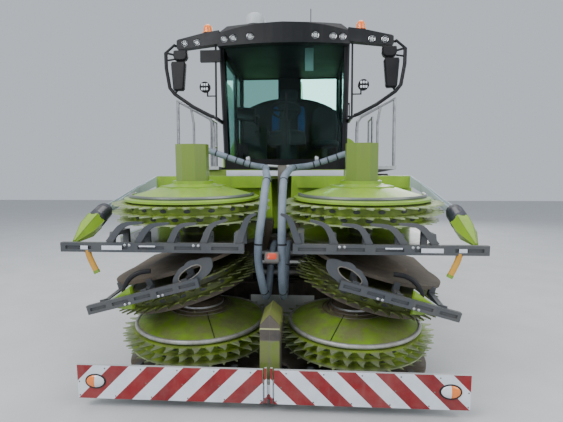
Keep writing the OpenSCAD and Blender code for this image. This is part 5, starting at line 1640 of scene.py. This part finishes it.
@dataclass
class Dividers:
    """Fingers, points, sheets and feelers of the outer sections, and the arm of each middle section.

    Attributes:
        fingers: Foot, elbow and end of each finger in x and z, in millimetres on the unfolded header.
        finger_v: Place of the fingers along the machine.
        arm: Outline of the middle section's arm round its oval hole.
        hole: Middle of the hole, its half length and height, and its turn in degrees.
        arm_v: Place of the arm along the machine.
        arm_half: Half the arm's thickness.
        loop: Points of the tube that loops below the bar.
        tip: Outline of the middle bar's lime point.
        tip_v: Place of that point along the machine.
    """

    fingers: tuple[tuple[Flat, ...], ...] = (
        ((4216, 200), (4093, 339), (3931, 363)),
        ((3983, 200), (3880, 329), (3720, 359)),
        ((3719, 200), (3642, 330), (3501, 359)),
        ((3455, 200), (3386, 338), (3260, 390)),
        ((3174, 200), (3105, 391), (3036, 437)),
    )
    finger_v: float = -2962.0
    arm: tuple[Flat, ...] = (
        (2762, 62), (2755, 130), (2660, 200), (2560, 214), (2410, 222), (2404, 174), (2455, 112), (2528, 74),
        (2640, 52),
    )
    hole: tuple[float, float, float, float, float] = (2561.0, 140.0, 108.0, 42.0, -19.0)
    arm_v: float = -2935.0
    arm_half: float = 12.0
    loop: tuple[Point, ...] = (
        (1960, -2905, 200), (1978, -2905, 142), (2021, -2905, 89), (2075, -2900, 56), (2143, -2890, 42),
        (2223, -2870, 54),
    )
    tip: tuple[Flat, ...] = ((1763, 228), (2048, 122), (2030, 250), (2014, 318), (1945, 303))
    tip_v: float = -2905.0

    def build(self, shop: Workshop) -> None:
        """Fits the sections of both sides."""
        for side in Side:
            outer = partial(DRAWN.end, side=side)
            self._fingers(shop, side, outer)
            self._point(shop, side, outer)
            self._sheet(shop, side, outer)
            self._feeler(shop, side, outer)
            self._arm(shop, side, partial(DRAWN.mid, side=side))

    def _fingers(self, shop: Workshop, side: Side, place: Placer) -> None:
        """Slanted fingers that narrow from the bar to their ends."""
        shapes = []
        for finger in self.fingers:
            path = smooth_path([(x, self.finger_v, z) for x, z in finger], 5)
            widths = np.interp(np.linspace(0, 1, len(path)), [0, 0.45, 0.6, 1], [0.052, 0.046, 0.034, 0.018])
            shapes.append(strip(place(path), list(widths), 0.022))
        shop.add(f"bar_fingers_{side.word}", joined(shapes), Paint.SLATE, f"outer_section_{side.word}")

    @staticmethod
    def _point(shop: Workshop, side: Side, place: Placer) -> None:
        """Slate collar and six-sided lime point with edged panels."""
        body = f"outer_section_{side.word}"
        ends = place([(4552, -2320, 385), (4535, -2562, 311)])
        way = np.linspace(0, 1, 9)
        path = ends[0] + way[:, None] * (ends[1] - ends[0])
        radii = np.interp(way, [0, 0.1, 0.9, 1], [0.070, 0.076, 0.080, 0.077])
        shop.add(f"point_collar_{side.word}", tube(path, radii, 40), Paint.COLLAR, body)
        path = place([(4535, -2548, 317), (4532, -2700, 262), (4530, -2905, 196)])
        radii = np.array([0.085, 0.078, 0.015])
        shop.add(f"point_panels_{side.word}", tube(path, radii, 6), Paint.GREEN, body)
        first, second = path_frames(path)
        edges = []
        for angle in np.arange(6) * math.pi / 3:
            line = path + radii[:, None] * (first * math.cos(angle) + second * math.sin(angle))
            edges.append(tube(line, 0.0028, 8))
        shop.add(f"point_edges_{side.word}", joined(edges), Paint.GREEN_DIRTY, body)

    @staticmethod
    def _sheet(shop: Workshop, side: Side, place: Placer) -> None:
        """Pale sheet band that falls from the pan's wall to the collar."""
        half = 3
        rows = []
        for x, v, low, high in (
            (4372, -1452, 558, 668),
            (4461, -1825, 476, 566),
            (4512, -2100, 400, 486),
            (4540, -2350, 345, 432),
        ):
            out, inside = x + half, x - half
            rows.append(place([(out, v, low), (out, v, high), (inside, v, high), (inside, v, low)]))
        shape = grid_shape(np.array(rows))
        shop.add(f"side_sheet_{side.word}", shape, Paint.SHEET, f"outer_section_{side.word}")

    @staticmethod
    def _feeler(shop: Workshop, side: Side, place: Placer) -> None:
        """Curved yellow sleeve that hangs from the bar's end, with a dark cap."""
        body = f"outer_section_{side.word}"
        line = [(4385, -2970, 145), (4378, -2970, 95), (4350, -2970, 25), (4318, -2970, -45)]
        path = smooth_path(place(line), 6)
        shop.add(f"feeler_sleeve_{side.word}", tube(path, 0.023, 20), Paint.YELLOW, body)
        shop.add(f"feeler_cap_{side.word}", tube(path[-3:], 0.0245, 20), Paint.GREEN_DIRTY, body)

    def _arm(self, shop: Workshop, side: Side, place: Placer) -> None:
        """Arm with its oval hole, the looped tube beside it, and the lime point behind the bar's end with a
        painted highlight on one edge.
        """
        body = f"mid_section_{side.word}"
        x0, z0, long, high, lean = self.hole
        turn = np.linspace(0, 2 * math.pi, 72, endpoint=False)
        edge = np.array(self.arm) - (x0, z0)
        polar = np.arctan2(edge[:, 1], edge[:, 0])
        reach = np.interp(turn, polar, np.hypot(edge[:, 0], edge[:, 1]), period=2 * math.pi)
        outer = np.stack([reach * np.cos(turn), reach * np.sin(turn)], axis=1)
        cos, sin = math.cos(math.radians(lean)), math.sin(math.radians(lean))
        way = np.stack([np.cos(turn), np.sin(turn)], axis=1)
        span = 1 / np.hypot((way @ (cos, sin)) / long, (way @ (-sin, cos)) / high)
        inner = way * span[:, None]
        rows = []
        half = self.arm_half
        for line, v in ((outer, -half), (inner, -half), (inner, half), (outer, half)):
            flat = np.column_stack([line[:, 0] + x0, np.full(len(line), self.arm_v + v), line[:, 1] + z0])
            rows.append(place(flat))
        shop.add(f"oval_arm_{side.word}", grid_shape(np.array(rows), ring=True), Paint.SLATE, body)
        shop.add(f"oval_rim_{side.word}", tube(rows[1], 0.005, 10, ring=True), Paint.DULL_STEEL, body)
        path = smooth_path(place(self.loop), 6)
        shop.add(f"guard_loop_{side.word}", tube(path, 0.02, 18), Paint.BLACK, body)
        outline = np.array(self.tip, float)
        middle = outline.mean(0)
        panels = []
        for size, v in ((0.9, -30), (1.0, -8), (1.0, 8), (0.9, 30)):
            x, z = (middle + (outline - middle) * size).T
            panels.append(place(np.column_stack([x, np.full(len(x), self.tip_v + v), z])))
        shop.add(f"mid_point_{side.word}", grid_shape(np.array(panels)), Paint.GREEN, body)
        # A pale tube along one edge of the point: a painted highlight.
        shop.add(f"mid_point_edge_{side.word}", tube(panels[1][:2], 0.006, 10), Paint.LIGHT_PLASTIC, body)


@dataclass
class MachineTrim:
    """Wheel nuts, body seams, latches, tail lenses and marker lamps."""

    def build(self, shop: Workshop) -> None:
        """Fits the machine's trim."""
        self._wheels(shop)
        self._body(shop)

    @staticmethod
    def _wheels(shop: Workshop) -> None:
        """Nuts round each hub."""
        nut = lathe([(POLE, 0.0), (0.021, 0.0), (0.021, 0.012), (0.017, 0.02), (POLE, 0.021)], 6)
        angle = np.arange(10) * math.pi / 5 + 0.3
        for word, v, z, circle in (("front", 0, 990, 0.15), ("rear", 3150, 720, 0.11)):
            spots = np.stack([circle * np.cos(angle), circle * np.sin(angle), np.zeros_like(angle)], axis=1)
            nuts = nut.repeated(stands(spots, (0, 0, 1)))
            for side in Side:
                shape = nuts.moved(stand(DRAWN.row((side.value * 1250, v, z))[0], (side.value, 0, 0)))
                body = f"wheel_{word}_{side.word}"
                shop.add(f"wheel_nuts_{word}_{side.word}", shape, Paint.GALVANISED, body)

    @staticmethod
    def _body(shop: Workshop) -> None:
        """Seams, latches and lenses of the panels."""
        heights = np.linspace(1520, 2290, 6)
        lines = [DRAWN.row([(1260.5, v, z) for z in heights]) for v in (2600, 3050, 4400)]
        seams = joined([band(line, 0.003, 0.008, (1, 0, 0)) for line in lines]).mirrored()
        shop.add("panel_seams", seams, Paint.BLACK, "chassis")
        latch = block((0.012, 0.07, 0.03), 0.004)
        marker = block((0.014, 0.11, 0.035), 0.005)
        tail = block((0.13, 0.012, 0.045), 0.004)
        for name, shape, places, paint in (
            ("panel_latches", latch, [(1262, v, 1640) for v in (2560, 3010, 4360)], Paint.BLACK),
            ("side_markers", marker, [(1262, v, 1730) for v in (2300, 3500, 4900)], Paint.ORANGE_LENS),
            ("tail_lenses", tail, [(1188, 5175, 1615)], Paint.RED_LENS),
            ("tail_turn_lenses", tail, [(1188, 5175, 1565)], Paint.ORANGE_LENS),
        ):
            frames = np.array([DRAWN.at(place) for place in places])
            shop.add(name, shape.repeated(frames).mirrored(), paint, "chassis")


NODE_PAINTS: dict[str, Paint] = {
    "chassis_frame": Paint.GREEN_DIRTY,
    "front_axle": Paint.FRAME_GREY,
    "rear_axle": Paint.FRAME_GREY,
    "engine_block": Paint.ENGINE_GREY,
    "body_panels": Paint.GREEN,
    "engine_hood": Paint.GREEN,
    "air_grilles": Paint.BLACK,
    "cab_platforms": Paint.GALVANISED,
    "rails_and_ladder": Paint.RAIL,
    "cab_shell": Paint.BLACK,
    "cab_interior": Paint.INTERIOR,
    "mirrors": Paint.BLACK,
    "exhaust_pipe": Paint.WORN_STEEL,
    "cab_door": Paint.BLACK,
    "spout_turret": Paint.GREEN,
    "spout_boom": Paint.GREEN,
    "spout_flap": Paint.GREEN,
    # The intake housing takes the throat's painted shade.
    "intake_housing": Paint.THROAT,
    "centre_guard": Paint.SLATE,
    "feed_roller_upper": Paint.WORN_STEEL,
    "feed_roller_lower": Paint.WORN_STEEL,
    "lift_barrels": Paint.FRAME_GREY,
    "lift_rods": Paint.CHROME,
}
SIDE_PAINTS: dict[str, Paint] = {
    "tyre_front": Paint.RUBBER,
    "tyre_rear": Paint.RUBBER,
    "rim_front": Paint.RIM_RED,
    "rim_rear": Paint.RIM_RED,
    "knuckle": Paint.FRAME_GREY,
    "mid_guard": Paint.SLATE,
}


def dress_frame(shop: Workshop) -> None:
    """Gives each plain node of the frame its finish."""
    for node, paint in NODE_PAINTS.items():
        shop.dress(node, shop.paint(paint))
    for node, paint in SIDE_PAINTS.items():
        for side in Side:
            shop.dress(f"{node}_{side.word}", shop.paint(paint))


def main() -> None:
    """Builds the machine's looks round the frame."""
    logging.basicConfig(level=logging.INFO, format="%(name)s: %(message)s")
    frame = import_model()
    studio = Studio()
    studio.set_camera()
    shop = Workshop(frame, Effects(), {})
    Hoses().build(shop)
    dress_frame(shop)
    Boards().build(shop)
    Header().build(shop)
    Glazing().build(shop)
    for trim in (RoofTrim(), CabTrim(), HeaderTrim(), Dividers(), MachineTrim()):
        trim.build(shop)
    studio.set_floor()
    studio.set_light()


if __name__ == "__main__":
    main()
